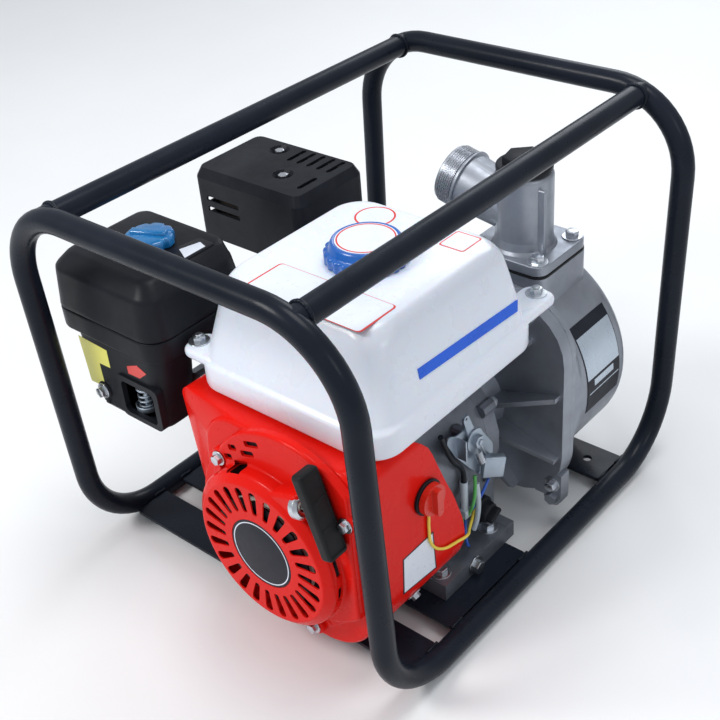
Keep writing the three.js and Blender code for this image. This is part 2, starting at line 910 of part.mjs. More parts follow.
function buildCylinder() {
  const barrel = finStack(alongZ(circle(0, 0, barrelRadius), 0, barrelLength), barrelLength,
    finWidth / 2, finDepth / 2, finCorner);
  add('cylinder_barrel', laidOver(barrel, barrelStart), castAluminium, crank);

  const headCore = alongZ(rectangle(-rockerWidth / 2, rockerWidth / 2, -rockerDepth / 2, rockerDepth / 2,
    finCorner, 2), 0, headLength);
  const finned = finStack(headCore, headLength * headFinShare, finWidth / 2, finDepth / 2, finCorner);
  const portBoss = bar(portBossRadius, point(0, -finDepth / 2, headLength / 2),
    point(0, finDepth / 2, headLength / 2), roundSides / 2);
  const plugFace = -rockerWidth / 2;
  const plugWay = bar(plugShellRadius + seatGap, point(plugFace, 0, headLength / 2),
    point(plugFace - plugShellLength - overrun, 0, headLength / 2), roundSides / 2);
  const plugThread = bar(plugCoreRadius + seatGap, point(plugFace + plugPocket + seatGap, 0, headLength / 2),
    point(plugFace - overrun, 0, headLength / 2), roundSides / 2);
  const head = cut(join(finned, portBoss), plugWay, plugThread);
  const headStart = barrelStart + barrelLength + seatGap;
  add('cylinder_head', laidOver(head, headStart), castAluminium, crank);
  const plug = turnedUp([
    [0, -plugPocket], [plugCoreRadius, -plugPocket], [plugCoreRadius, seatGap], [plugShellRadius, seatGap],
    [plugShellRadius, plugShellLength], [plugCoreRadius, plugShellLength],
    [plugCoreRadius * plugTipShare, plugLength], [0, plugLength],
  ], roundSides / 2).rotateY(-Math.PI / 2).translate(plugFace, 0, headLength / 2);
  add('spark_plug', laidOver(plug, headStart), whitePlastic, crank);

  const coverOutline = (inset) => rectangle(-rockerWidth / 2 + inset, rockerWidth / 2 - inset,
    -rockerDepth / 2 + inset, rockerDepth / 2 - inset, finCorner - inset / 2);
  const cover = loft([
    { outline: coverOutline(0), at: 0 },
    { outline: coverOutline(0), at: rockerLip },
    { outline: coverOutline(rockerLip), at: rockerLip },
    { outline: coverOutline(rockerLip), at: rockerLength - rockerLip },
    { outline: coverOutline(2 * rockerLip), at: rockerLength },
  ]);
  add('rocker_cover', laidOver(cover, headStart + headLength + seatGap), castAluminium, crank);
}

// Crankshaft, flywheel with its fan, and the starter cup: they turn together
function buildRotor() {
  const r = shaftDiameter / 2;
  const shoulder = cupFront + cupDepth + seatGap;
  const shaft = turned([
    [0, shaftFront], [r * shaftNoseShare, shaftFront], [r * shaftNoseShare, shoulder], [r, shoulder],
    [r, adapterRimFront], [r * shaftTailShare, adapterRimFront], [r * shaftTailShare, shaftBack],
    [0, shaftBack],
  ], roundSides / 2);
  add('crankshaft', shaft, zincSteel, crank);

  const wheel = turned([
    [r + seatGap, flywheelFront], [flywheelRadius, flywheelFront],
    [flywheelRadius, flywheelFront + flywheelDepth],
    [flywheelRadius - flywheelRim, flywheelFront + flywheelDepth],
    [flywheelRadius - flywheelRim, flywheelFront + 2 * flywheelWeb],
    [flywheelHubRadius, flywheelFront + 2 * flywheelWeb],
    [flywheelHubRadius, flywheelFront + flywheelDepth], [r + seatGap, flywheelFront + flywheelDepth],
    [r + seatGap, flywheelFront],
  ]);
  const blades = Array.from({ length: fanBladeCount }, (_, i) => {
    const blade = block([-fanBladeThickness / 2, fanBladeThickness / 2],
      [flywheelFront - fanBladeDepth, flywheelFront + flywheelWeb / 2],
      [fanBladeInner, flywheelRadius]);
    return blade.translate(0, 0, -fanBladeInner).rotateY(THREE.MathUtils.degToRad(fanBladeLean))
      .translate(0, 0, fanBladeInner).rotateY(2 * Math.PI * i / fanBladeCount);
  });
  add('flywheel_fan', join(wheel, ...blades), darkCasting, crank);

  const cupHub = r * shaftNoseShare + seatGap;
  const cup = turned([
    [cupHub, cupFront + cupDepth - cupWall], [cupRadius - cupWall, cupFront + cupDepth - cupWall],
    [cupRadius - cupWall, cupFront], [cupRadius, cupFront], [cupRadius, cupFront + cupDepth],
    [cupHub, cupFront + cupDepth], [cupHub, cupFront + cupDepth - cupWall],
  ], hiddenSides);
  const windows = Array.from({ length: cupWindowCount }, (_, i) => {
    const window = block([-cupWindowWidth / 2, cupWindowWidth / 2],
      [cupFront + cupDepth * cupWindowShare, cupFront + cupDepth - 2 * cupWall],
      [cupRadius * cupWindowShare, cupRadius + overrun]);
    return window.rotateY(2 * Math.PI * i / cupWindowCount);
  });
  add('starter_cup', cut(cup, ...windows), zincSteel, crank);
  const nutSeat = cupFront + cupDepth - cupWall;
  const nut = cut(hexHead(flywheelNutWidth, flywheelNutHeight, point(0, nutSeat - seatGap, 0),
    along.clone().negate()),
  bar(r * shaftNoseShare + seatGap, point(0, shaftFront - overrun - flywheelNutHeight, 0),
    point(0, nutSeat, 0), roundSides / 2));
  add('flywheel_nut', nut, zincSteel, crank);
}

// Fan cover: a lofted shell from the round front to a squarer back, open behind
function fanCoverOutline(inset, left, leftRadius, rightRadius) {
  const low = -fanCoverRadius + inset;
  const right = fanCoverRadius - inset;
  const top = fanCoverTop - inset;
  return roundedOutline([
    [low, low, (fanCoverRadius - inset) * fullRoundShare], [right, low, fanCoverCornerRadius - inset],
    [right, top, rightRadius - inset], [-left + inset, top, leftRadius - inset],
  ], rimSteps);
}

function fanCoverSolid(inset, y0, y1) {
  const front = fanCoverOutline(inset, fanCoverFrontLeft, fanCoverFrontLeftRadius, fanCoverFrontRadius);
  const back = fanCoverOutline(inset, fanCoverBackLeft, fanCoverBackRadius, fanCoverBackRadius);
  const rolled = fanCoverOutline(inset + fanCoverRoll, fanCoverFrontLeft, fanCoverFrontLeftRadius,
    fanCoverFrontRadius);
  return loftY([
    { outline: rolled, at: y0 },
    { outline: front, at: y0 + fanCoverRoll },
    { outline: back, at: fanCoverFront + fanCoverBlend },
    { outline: back, at: y1 },
  ]);
}

function buildFanCover() {
  const wide = hoopWidth;
  const footTop = -crankHeight + footHeight;
  const shell = cut(
    fanCoverSolid(0, fanCoverFront, fanCoverBack),
    fanCoverSolid(fanCoverWall, fanCoverFront + fanCoverWall, fanCoverBack + overrun),
    bar(fanInletRadius, point(0, fanCoverFront - overrun, 0),
      point(0, fanCoverFront + fanCoverWall + overrun, 0), roundSides),
    block([-wide, -fanCoverRadius * fanCoverLapShare], [caseFront - fanCoverGap, 0], [-wide, wide]),
    block([-wide, wide], [caseFront - fanCoverGap - overrun, 0], [-wide, footTop + fanCoverFootGap]),
  );
  add('fan_cover', shell, redPaint, crank);
}

// Rope line: leaves the reel's top at a right angle to its arm. Pieces on it are made along +X
// at the height of the line and turned about the crank axis.
function onRopeLine(geometry) {
  return geometry.rotateY(-THREE.MathUtils.degToRad(ropeAngle));
}

function shoulderOutline(inset) {
  const ring = circle(shoulderShiftX, shoulderShiftZ, shoulderRadius - inset);
  const limit = recoilFlangeRadius - inset;
  return ring.map((p) => new THREE.Vector2(Math.min(p.x, limit), p.y));
}

function radialSlot() {
  return [
    new THREE.Vector2(-recoilSlotNarrow / 2, recoilSlotInner),
    new THREE.Vector2(recoilSlotNarrow / 2, recoilSlotInner),
    new THREE.Vector2(recoilSlotWide / 2, recoilSlotOuter),
    new THREE.Vector2(-recoilSlotWide / 2, recoilSlotOuter),
  ];
}

function buildRecoilHousing() {
  const seat = fanCoverFront - seatGap;
  const kneeY = recoilFront + recoilDepth * recoilKneeShare;
  const faceInner = recoilFaceRadius - recoilWall * slotRoundShare;
  const bell = turned([
    [0, recoilFront], [recoilFaceRadius, recoilFront],
    [recoilFaceRadius + recoilEdge, recoilFront + recoilEdge * halfShare],
    [recoilRadius, kneeY], [recoilRadius, seat - recoilWall], [recoilFlangeRadius, seat - recoilWall],
    [recoilFlangeRadius, seat], [0, seat],
  ], recoilSides);
  const cavity = turned([
    [0, recoilFront + recoilWall], [faceInner, recoilFront + recoilWall],
    [recoilRadius - recoilWall, kneeY], [recoilRadius - recoilWall, seat + overrun], [0, seat + overrun],
  ], recoilSides);
  const shoulder = loftY([
    { outline: shoulderOutline(recoilEdge), at: seat - shoulderRise },
    { outline: shoulderOutline(0), at: seat - shoulderRise + recoilEdge },
    { outline: shoulderOutline(0), at: seat },
  ]);
  const shoulderCavity = cut(
    alongY(shoulderOutline(2 * recoilWall), seat - shoulderRise + recoilWall, seat + overrun),
    bar(recoilRadius, point(0, seat - shoulderRise, 0), point(0, seat + 2 * overrun, 0), recoilSides),
  );
  const beak = onRopeLine(alongY(rectangle(beakStart, eyeletReach,
    ropeLineRadius - beakWidth / 2, ropeLineRadius + beakWidth / 2, recoilEdge, 2),
  recoilFront + recoilWall, seat - seatGap));
  const spindle = bar(spindleRadius, point(0, recoilFront + recoilWall / 2, 0),
    point(0, reelFront + reelWidth + spindleOver, 0));
  const ropeWay = onRopeLine(bar(ropeDiameter, point(0, ropeY, ropeLineRadius),
    point(eyeletReach + overrun, ropeY, ropeLineRadius)));
  const eyeletSeat = onRopeLine(bar(eyeletRadius + seatGap,
    point(eyeletReach - eyeletDepth, ropeY, ropeLineRadius),
    point(eyeletReach + overrun, ropeY, ropeLineRadius)));
  const throughFront = [recoilFront - overrun, recoilFront + recoilWall + overrun];
  const slots = Array.from({ length: recoilSlotCount }, (_, i) => (
    alongY(radialSlot(), ...throughFront).rotateY(2 * Math.PI * i / recoilSlotCount)));
  const badge = bar(badgeRadius, point(0, recoilFront - overrun, 0),
    point(0, recoilFront + badgeDepth, 0), roundSides);
  add('recoil_housing', cut(
    join(cut(join(bell, shoulder, beak), cavity, shoulderCavity), spindle),
    ropeWay, eyeletSeat, badge, ...slots, ...shoulderSlots(seat), ...sideSlots(),
  ), redPaint, crank);

  const eyelet = turned([
    [ropeDiameter * eyeletBoreShare, 0], [eyeletRadius, 0], [eyeletRadius, eyeletDepth],
    [ropeDiameter * eyeletBoreShare, eyeletDepth], [ropeDiameter * eyeletBoreShare, 0],
  ], smallSides).rotateZ(-Math.PI / 2);
  eyelet.translate(eyeletReach - eyeletDepth + seatGap, ropeY, ropeLineRadius);
  add('rope_eyelet', onRopeLine(eyelet), zincSteel, crank);
}

// Three rows of short cooling slots on the shoulder, parallel to the rope
function shoulderSlots(seat) {
  const y = [seat - shoulderRise - overrun, seat - shoulderRise + recoilWall + overrun / 2];
  return [0, 1, 2].flatMap((row) => shoulderSlotStartShares.map((startShare) => {
    const x = startShare * shoulderSlotLength;
    const z = shoulderRadius + shoulderSlotHeight - row * shoulderSlotPitch;
    return onRopeLine(alongY(rectangle(x, x + shoulderSlotLength, z, z + shoulderSlotHeight,
      shoulderSlotHeight * slotRoundShare, 1), ...y));
  }));
}

// Two pairs of slots through the bell's side at the lower right
function sideSlots() {
  const kneeY = recoilFront + recoilDepth * recoilKneeShare;
  return sideSlotAngles.flatMap((angle) => [0, 1].map((row) => {
    const y = kneeY + runningGap + row * sideSlotPitch;
    const slot = block([recoilRadius - 2 * recoilWall, recoilRadius + overrun],
      [y, y + sideSlotWidth], [-sideSlotLength / 2, sideSlotLength / 2]);
    return slot.rotateY(-THREE.MathUtils.degToRad(angle));
  }));
}

// Reel with its wound rope, the rope's short free stretch, and the grip
function buildStarter() {
  const bore = spindleRadius + seatGap;
  const drum = reelDrumRadius;
  const cheek = reelCheek;
  const reel = turned([
    [bore, reelFront], [reelRadius, reelFront], [reelRadius, reelFront + cheek],
    [drum, reelFront + cheek], [drum, reelFront + reelWidth - cheek],
    [reelRadius, reelFront + reelWidth - cheek], [reelRadius, reelFront + reelWidth],
    [bore, reelFront + reelWidth], [bore, reelFront],
  ], hiddenSides);
  add('recoil_reel', reel, blackPlastic, crank);
  const woundOuter = ropeLineRadius - ropeDiameter / 2 - seatGap;
  const wound = turned([
    [drum + seatGap, reelFront + cheek + seatGap], [woundOuter, reelFront + cheek + seatGap],
    [woundOuter, reelFront + reelWidth - cheek - seatGap],
    [drum + seatGap, reelFront + reelWidth - cheek - seatGap], [drum + seatGap, reelFront + cheek + seatGap],
  ], hiddenSides);
  add('wound_rope', wound, whiteRope, crank);
  const washer = turned([
    [0, reelFront + reelWidth + spindleOver + seatGap],
    [spindleRadius * 2, reelFront + reelWidth + spindleOver + seatGap],
    [spindleRadius * 2, reelFront + reelWidth + spindleOver + reelCheek],
    [0, reelFront + reelWidth + spindleOver + reelCheek],
  ], roundSides / 2);
  add('reel_retainer', washer, zincSteel, crank);
  const gripFace = gripCentreReach - gripDepth / 2;
  const rope = onRopeLine(bar(ropeDiameter / 2, point(runningGap, ropeY, ropeLineRadius),
    point(gripFace + gripRopeDepth - seatGap, ropeY, ropeLineRadius), 8));
  add('starter_rope', rope, whiteRope, crank);

  const gripHalf = gripLength / 2;
  const gripFront = ropeY - gripShift - gripThickness / 2;
  const gripOutline = roundedOutline([
    [gripFace, ropeLineRadius - gripHalf, gripEnd],
    [gripFace + gripDepth, ropeLineRadius - gripHalf, gripEnd],
    [gripFace + gripDepth, ropeLineRadius + gripHalf, gripEnd],
    [gripFace, ropeLineRadius + gripHalf, gripEnd],
  ], 3);
  const grip = alongY(gripOutline, gripFront, gripFront + gripThickness);
  const panels = [-1, 0, 1].map((place) => {
    const middle = ropeLineRadius + place * gripLength * gripPanelShare;
    const half = gripLength * gripPanelShare / 2 - gripRib / 2;
    return alongY(rectangle(gripFace + gripRib, gripFace + gripDepth - gripRib,
      middle - half, middle + half, gripRib / 2, 1),
    gripFront - overrun, gripFront + gripPanelDepth);
  });
  const socket = bar(ropeDiameter / 2 + seatGap, point(gripFace - overrun, ropeY, ropeLineRadius),
    point(gripFace + gripRopeDepth, ropeY, ropeLineRadius));
  add('starter_grip', onRopeLine(cut(grip, socket, ...panels)), blackRubber, crank);
}

// Fuel tank: a band round the bottom, a tapered upper half, and an ear at two corners
function buildTank() {
  const bottom = engineFoot + tankBottom;
  const top = bottom + tankHeight;
  const ring = (share, inset, radius) => rectangle(
    tankLeft + inset + share * tankTopInsetLeft, tankRight - inset - share * tankTopInsetRight,
    tankFront + inset + share * tankTopInsetFront, tankBack - inset - share * tankTopInsetBack,
    radius, cornerSteps,
  );
  const bandTop = bottom + tankBandHeight;
  const crown = tankCrownRadius;
  const shell = loft([
    { outline: ring(0, 2 * tankBandStep, tankCornerRadius - 2 * tankBandStep), at: bottom },
    { outline: ring(0, 0, tankCornerRadius), at: bottom + tankBandStep },
    { outline: ring(0, 0, tankCornerRadius), at: bandTop },
    { outline: ring(0, tankBandStep, tankCornerRadius - tankBandStep), at: bandTop + tankBandStep },
    { outline: ring(tankShoulderShare, tankBandStep, tankCornerRadius - tankBandStep), at: top - crown },
    { outline: ring(1, crown * crownDropShare, tankCornerRadius), at: top - crown * crownDropShare },
    { outline: ring(1, crown, tankCornerRadius), at: top },
  ]);
  const earLow = bandTop - tankEarThickness / 2;
  const frontEar = alongZ(rectangle(tankLeft - tankEarReachLeft, tankLeft + tankCornerRadius,
    tankFront + tankBandStep, tankFront + tankBandStep + tankEarWidth, tankEarRound, 3),
  earLow, earLow + tankEarThickness);
  const backEar = alongZ(rectangle(tankRight - tankBandStep - tankEarWidth, tankRight - tankBandStep,
    tankBack - tankCornerRadius, tankBack + tankEarReachBack, tankEarRound, 3),
  earLow, earLow + tankEarThickness);
  const neck = bar(tankNeckOuter / 2, point(tankNeckX, tankNeckY, top - overrun),
    point(tankNeckX, tankNeckY, top + tankNeckRise), roundSides);
  const mouth = bar(tankNeckBore / 2, point(tankNeckX, tankNeckY, top - tankNeckDepth),
    point(tankNeckX, tankNeckY, top + tankNeckRise + overrun), roundSides);
  add('fuel_tank', cut(join(shell, frontEar, backEar, neck), mouth), whitePlastic);

  const capSeat = top + seatGap;
  const teeth = Array.from({ length: 2 * capKnurls }, (_, i) => {
    const angle = Math.PI * (i + 0.5) / capKnurls;
    const radius = capDiameter / 2 - (i % 2) * capKnurlDepth;
    return new THREE.Vector2(radius * Math.cos(angle), radius * Math.sin(angle));
  });
  const lid = turnedUp([
    [0, capHeight * capLipShare], [capDiameter / 2 - capRoll, capHeight * capLipShare],
    [capDiameter / 2 - 2 * capRoll, capHeight], [0, capHeight],
  ]);
  const cap = cut(
    join(alongZ(teeth, 0, capHeight * capLipShare + bondDepth), lid),
    bar(tankNeckOuter / 2 + runningGap, point(0, 0, -overrun), point(0, 0, tankNeckRise + runningGap),
      roundSides),
  );
  cap.translate(tankNeckX, tankNeckY, capSeat);
  add('fuel_cap', cap, bluePlastic);
}

// Air cleaner: cover, lower case with a window, hold-down knob and the stud and plunger inside
function cleanerOutline(inset, left = 0, right = 0, back = 0, radius = cleanerCorner) {
  return rectangle(cleanerLeft + inset + left, cleanerRight - inset - right,
    cleanerFront + inset, cleanerBack - inset - back, radius - inset / 2);
}

function buildAirCleaner() {
  const top = engineFoot + cleanerTop;
  const seam = engineFoot + cleanerSeam;
  const bottom = engineFoot + cleanerBottom;
  const bandLow = seam - cleanerBand;
  const cover = loft([
    { outline: cleanerOutline(0), at: seam + seatGap },
    { outline: cleanerOutline(cleanerTopInset, 0, 0, cleanerBackInset), at: top - cleanerChamfer },
    { outline: cleanerOutline(cleanerTopInset + cleanerChamfer, 0, 0, -cleanerBackInset), at: top },
  ]);
  const middle = [
    (cleanerLeft + cleanerRight) / 2 + wingNutShiftX,
    (cleanerFront + cleanerBack) / 2 + wingNutShiftY,
  ];
  const studHole = bar(cleanerStudRadius + seatGap, point(...middle, seam - overrun),
    point(...middle, top + overrun));
  add('air_cleaner_cover', cut(cover, studHole), blackPlastic);

  const lowerBack = cleanerBack - cleanerFront - cleanerBodyDepth;
  const lowerSteps = [
    [bottom, 2 * cleanerWall, cleanerBottomInsetLeft, cleanerBottomInsetRight, lowerBack],
    [bottom + 2 * cleanerWall, cleanerWall, cleanerBottomInsetLeft, cleanerBottomInsetRight, lowerBack],
    [bandLow, cleanerWall, cleanerBottomInsetLeft * halfShare, 0, lowerBack],
    [bandLow, cleanerWall, 0, 0, 0],
    [seam, 0, 0, 0, 0],
  ];
  const outer = loft(lowerSteps.map(([at, inset, left, right, back]) => (
    { outline: cleanerOutline(inset, left, right, back), at })));
  const hollow = loft([
    { outline: cleanerOutline(2 * cleanerWall, cleanerBottomInsetLeft, cleanerBottomInsetRight, lowerBack),
      at: bottom + 2 * cleanerWall },
    { outline: cleanerOutline(2 * cleanerWall, cleanerBottomInsetLeft, cleanerBottomInsetRight, lowerBack),
      at: bandLow - cleanerWall },
  ]);
  const windowRight = cleanerRight - cleanerBottomInsetRight - 2 * cleanerWall;
  const window = alongY(rectangle(windowRight - cleanerWindowWidth, windowRight,
    bottom + 4 * cleanerWall, bottom + 4 * cleanerWall + cleanerWindowHeight, cleanerWall, 2),
  cleanerFront - overrun, cleanerFront + 3 * cleanerWall);
  const boltLug = bar(cleanerLugRadius, point(cleanerLeft + cleanerBottomInsetLeft + cleanerCorner,
    cleanerFront - cleanerWall, bottom + cleanerCorner),
  point(cleanerLeft + cleanerBottomInsetLeft + cleanerCorner, cleanerFront + 2 * cleanerWall,
    bottom + cleanerCorner));
  const stud = bar(cleanerStudRadius, point(...middle, seam - overrun),
    point(...middle, top + wingNutHeight * halfShare));
  add('air_cleaner_case', join(cut(join(outer, boltLug), hollow, window), stud), blackPlastic);

  const plungerX = windowRight - cleanerWindowWidth / 2;
  const plungerY = cleanerFront + plungerRadius + 3 * cleanerWall;
  const plunger = turnedUp([
    [0, 0], [plungerRadius, 0], [plungerRadius, plungerFlange], [plungerStem, plungerFlange],
    [plungerStem, cleanerWindowHeight], [0, cleanerWindowHeight],
  ], roundSides / 2);
  plunger.translate(plungerX, plungerY, bottom + 2 * cleanerWall + seatGap);
  add('drain_plunger', plunger, zincSteel);

  const nutSeat = top + seatGap;
  const lobes = Array.from({ length: 4 * wingNutNotchCount }, (_, i) => {
    const angle = Math.PI * i / (2 * wingNutNotchCount);
    const radius = wingNutRadius - (i % 4 < 2 ? 0 : wingNutNotchDepth);
    return new THREE.Vector2(radius * Math.cos(angle), radius * Math.sin(angle));
  });
  const gripBar = alongZ(rectangle(-wingNutRadius * gripBarShare, wingNutRadius * gripBarShare,
    -wingNutBarWidth / 2, wingNutBarWidth / 2, runningGap, 1), 0, wingNutHeight);
  const knob = cut(
    join(alongZ(lobes, 0, wingNutHeight * knobRimShare), gripBar),
    bar(cleanerStudRadius + seatGap, point(0, 0, -overrun),
      point(0, 0, wingNutHeight * halfShare + runningGap)),
  );
  knob.translate(...middle, nutSeat);
  add('air_cleaner_knob', knob, bluePlastic);
}

// Muffler, its pipe from the head, and the slotted guard over it
function guardOutline(inset) {
  return roundedOutline([
    [guardLeft + inset, guardFront + inset, guardCorner - inset * halfShare],
    [guardRight - inset, guardFront + inset, guardCorner - inset * halfShare],
    [guardRight - inset, guardBack - inset, guardCorner - inset * halfShare],
    [guardLeft + inset, guardBack - inset, guardCorner - inset * halfShare],
  ], 3);
}

function buildExhaust() {
  const top = engineFoot + guardTop;
  const bottom = top - guardHeight;
  const midX = (guardLeft + guardRight) / 2;
  const midY = (guardFront + guardBack) / 2;
  const outer = loft([
    { outline: guardOutline(0), at: bottom },
    { outline: guardOutline(0), at: top - guardChamfer },
    { outline: guardOutline(guardChamfer * halfShare), at: top },
  ]);
  const inner = loft([
    { outline: guardOutline(guardWall), at: bottom - overrun },
    { outline: guardOutline(guardWall), at: top - guardChamfer - guardWall },
    { outline: guardOutline(guardWall + guardChamfer * halfShare), at: top - guardWall },
  ]);
  const dishes = guardScrewShares.map(([shareX, shareY]) => {
    const x = midX + shareX * (guardRight - guardLeft);
    const y = midY + shareY * (guardBack - guardFront);
    const bowl = (gap, low, high) => turnedUp([
      [0, low], [guardScrewDish * halfShare + gap, low], [guardScrewDish + gap, high], [0, high],
    ], smallSides).translate(x, y, 0);
    return {
      skin: bowl(guardWall, top - mufflerGuardGap + seatGap, top - guardWall / 2),
      hollow: bowl(0, top - mufflerGuardGap + guardWall, top + guardWall / 2),
      screw: hexHead(smallHead, smallHeadHeight,
        point(x, y, top - mufflerGuardGap + guardWall - seatGap), up),
    };
  });
  const slot = (x, y, length) => alongZ(rectangle(x, x + guardSlotWidth, y, y + length,
    guardSlotWidth * slotRoundShare, 1), top - 2 * guardWall, top + overrun);
  const slotY = guardBack - guardSlotInset - guardSlotLength;
  const topSlots = Array.from({ length: guardSlotCount }, (_, i) => (
    slot(midX + guardSlotPitch * i, slotY, guardSlotLength)));
  topSlots.push(slot(midX + guardSlotPitch * (guardSlotCount - 1), guardFront + guardLoneSlotInset,
    guardSlotLength));
  const vents = Array.from({ length: guardVentRowCount }, (_, row) => {
    const low = top - guardVentDrop - row * guardVentPitch - guardVentHeight;
    const side = block([guardLeft - overrun, guardLeft + guardChamfer],
      [guardFront + guardCorner, guardBack - guardCorner], [low, low + guardVentHeight]);
    const front = block([guardLeft + guardVentInset, guardLeft + guardVentInset + guardVentLength],
      [guardFront - overrun, guardFront + guardChamfer], [low, low + guardVentHeight]);
    return row < guardVentRowCount / 2 ? [side, front] : [side];
  }).flat();
  const guard = join(
    cut(join(cut(outer, inner), ...dishes.map((d) => d.skin)), ...dishes.map((d) => d.hollow), ...topSlots,
      ...vents),
    ...dishes.map((d) => d.screw),
  );
  add('muffler_guard', guard, blackPaint);

  const canTop = top - mufflerGuardGap;
  const canOutline = (inset) => guardOutline(mufflerInset + inset);
  const can = loft([
    { outline: canOutline(mufflerRoll), at: bottom },
    { outline: canOutline(0), at: bottom + mufflerRoll },
    { outline: canOutline(0), at: canTop - mufflerRoll },
    { outline: canOutline(mufflerRoll), at: canTop },
  ]);
  const port = cylinderPoint(portReach);
  const portY = cylinderY + finDepth / 2 + seatGap;
  const portX = crankX + port.x;
  const portZ = crankZ + port.z;
  const pipe = tube(new BentPath([
    point(portX, portY, portZ), point(portX, guardFront + mufflerPipeRadius * 2, portZ),
    point(guardRight - mufflerInset - mufflerPipeRadius * 2, midY, bottom + mufflerRoll),
  ], mufflerPipeRadius, 4), mufflerPipeRadius * 2);
  add('muffler', join(can, pipe), darkSteel);
}

// Carburettor with its bowl, insulator, choke lever and fuel valve lever
function buildCarburettor() {
  const port = cylinderPoint(portReach);
  const x = crankX + port.x - carbShift;
  const z = crankZ + port.z;
  const headFace = cylinderY - finDepth / 2 - seatGap;
  const carbBack = headFace - insulatorDepth - seatGap;
  const carbFront = cleanerFront + cleanerBodyDepth - cleanerWall + seatGap;
  const spacer = alongY(rectangle(x - carbWidth / 2, x + carbWidth / 2,
    z - carbHeight / 2, z + carbHeight / 2, insulatorDepth), headFace - insulatorDepth, headFace);
  add('carburettor_insulator', spacer, blackPlastic);
  const half = carbHeight / 2;
  const barrelAxis = bar(carbHeight * carbBoreShare, point(x, carbFront, z), point(x, carbBack, z),
    roundSides / 2);
  const midY = (carbFront + carbBack) / 2;
  const core = block([x - carbWidth * carbCoreShare, x + carbWidth * carbCoreShare],
    [midY - carbDepth / 2, midY + carbDepth / 2], [z - half, z + half * halfShare]);
  const bowl = turnedUp([
    [0, 0], [carbBowlRadius * carbBoreShare, 0], [carbBowlRadius, carbBowlHeight * halfShare],
    [carbBowlRadius, carbBowlHeight + overrun], [0, carbBowlHeight + overrun],
  ], roundSides / 2).translate(x, midY, z - half - carbBowlHeight);
  add('carburettor', join(barrelAxis, core, bowl), castAluminium);

  const chokeX = x - carbHeight * carbBoreShare - seatGap;
  const choke = lever(leverLength, -leverThickness, 0).rotateX(THREE.MathUtils.degToRad(chokeAngle));
  add('choke_lever', choke.translate(chokeX, midY, z), blackPlastic);
  const valve = lever(leverLength, -leverThickness, 0).rotateX(Math.PI).rotateZ(Math.PI / 2);
  valve.translate(x, midY - carbBowlRadius - seatGap, z - half - carbBowlHeight * halfShare);
  add('fuel_valve_lever', valve, blackPlastic);
}

// Pieces on the right-hand wall: bracket, levers, oil filler, switch and leads
function lever(length, x0, x1) {
  const arm = roundedOutline([
    [-leverWidth / 2, -leverWidth / 2, leverWidth * leverRoundShare],
    [leverWidth / 2, -leverWidth / 2, leverWidth * leverRoundShare],
    [leverWidth * leverTipShare / 2, length, leverWidth * leverTipShare * leverRoundShare],
    [-leverWidth * leverTipShare / 2, length, leverWidth * leverTipShare * leverRoundShare],
  ], 2);
  return alongX(arm, x0, x1);
}

function buildControls() {
  const wall = controlWallX;
  const governorZ = engineFoot + governorShaftHeight;
  const throttleZ = engineFoot + throttleShaftHeight;
  const slope = Math.atan2(throttleZ - governorZ, throttleShaftY - governorShaftY);
  const length = Math.hypot(throttleZ - governorZ, throttleShaftY - governorShaftY) + 2 * bracketEnd;
  const plateFront = wall + controlPlateThickness;
  const plate = alongX(rectangle(-length / 2, length / 2, -bracketWidth / 2, bracketWidth / 2,
    bracketEnd, 3), wall + seatGap, plateFront);
  plate.rotateX(slope).translate(0, (governorShaftY + throttleShaftY) / 2, (governorZ + throttleZ) / 2);
  const shaftHole = bar(controlNutWidth / 2 + seatGap, point(wall - overrun, governorShaftY, governorZ),
    point(plateFront + overrun, governorShaftY, governorZ));
  const pivot = bar(pivotRadius, point(plateFront - bondDepth, throttleShaftY, throttleZ),
    point(plateFront + pivotLength, throttleShaftY, throttleZ));
  add('control_bracket', join(cut(plate, shaftHole), pivot), zincSteel);

  const leverBack = plateFront + seatGap;
  const leverFront = leverBack + leverThickness;
  const throttleHole = bar(pivotRadius + seatGap, point(leverBack - overrun, throttleShaftY, throttleZ),
    point(leverFront + overrun, throttleShaftY, throttleZ));
  const lean = THREE.MathUtils.degToRad(throttleAngle);
  const throttleArm = lever(throttleLength, leverBack, leverFront).rotateX(lean);
  const throttleTail = lever(throttleTailLength, leverBack, leverFront).rotateX(lean + Math.PI * halfShare);
  const throttle = join(throttleArm, throttleTail).translate(0, throttleShaftY, throttleZ);
  add('throttle_lever', cut(throttle, throttleHole), darkSteel);

  const governorBoss = bar(controlNutWidth / 2 - seatGap,
    point(crankX + caseRadius + seatGap, governorShaftY, governorZ),
    point(leverFront, governorShaftY, governorZ));
  const governorArm = lever(governorLength, leverBack, leverFront);
  governorArm.rotateX(THREE.MathUtils.degToRad(governorAngle)).translate(0, governorShaftY, governorZ);
  const governorNut = hexHead(controlNutWidth, smallHeadHeight,
    point(leverFront - bondDepth, governorShaftY, governorZ), across);
  add('governor_arm', join(governorBoss, governorArm, governorNut), zincSteel);

  const filler = crankX + caseRadius * caseFlankShare + oilNeckLength + seatGap;
  const cap = turned([
    [0, 0], [oilCapRadius, 0], [oilCapRadius, oilCapLength * oilCapFlangeShare],
    [oilCapRadius * oilCapTopShare, oilCapLength], [0, oilCapLength],
  ], roundSides / 2).rotateZ(-Math.PI / 2);
  const ears = alongX(rectangle(-oilCapRadius, oilCapRadius, -leverThickness, leverThickness,
    leverThickness * halfShare, 1), oilCapLength * halfShare, oilCapLength + oilCapEar);
  ears.rotateX(THREE.MathUtils.degToRad(throttleAngle));
  add('oil_filler_cap', join(cap, ears).translate(filler, oilNeckY, engineFoot + oilNeckHeight), redPlastic);
}

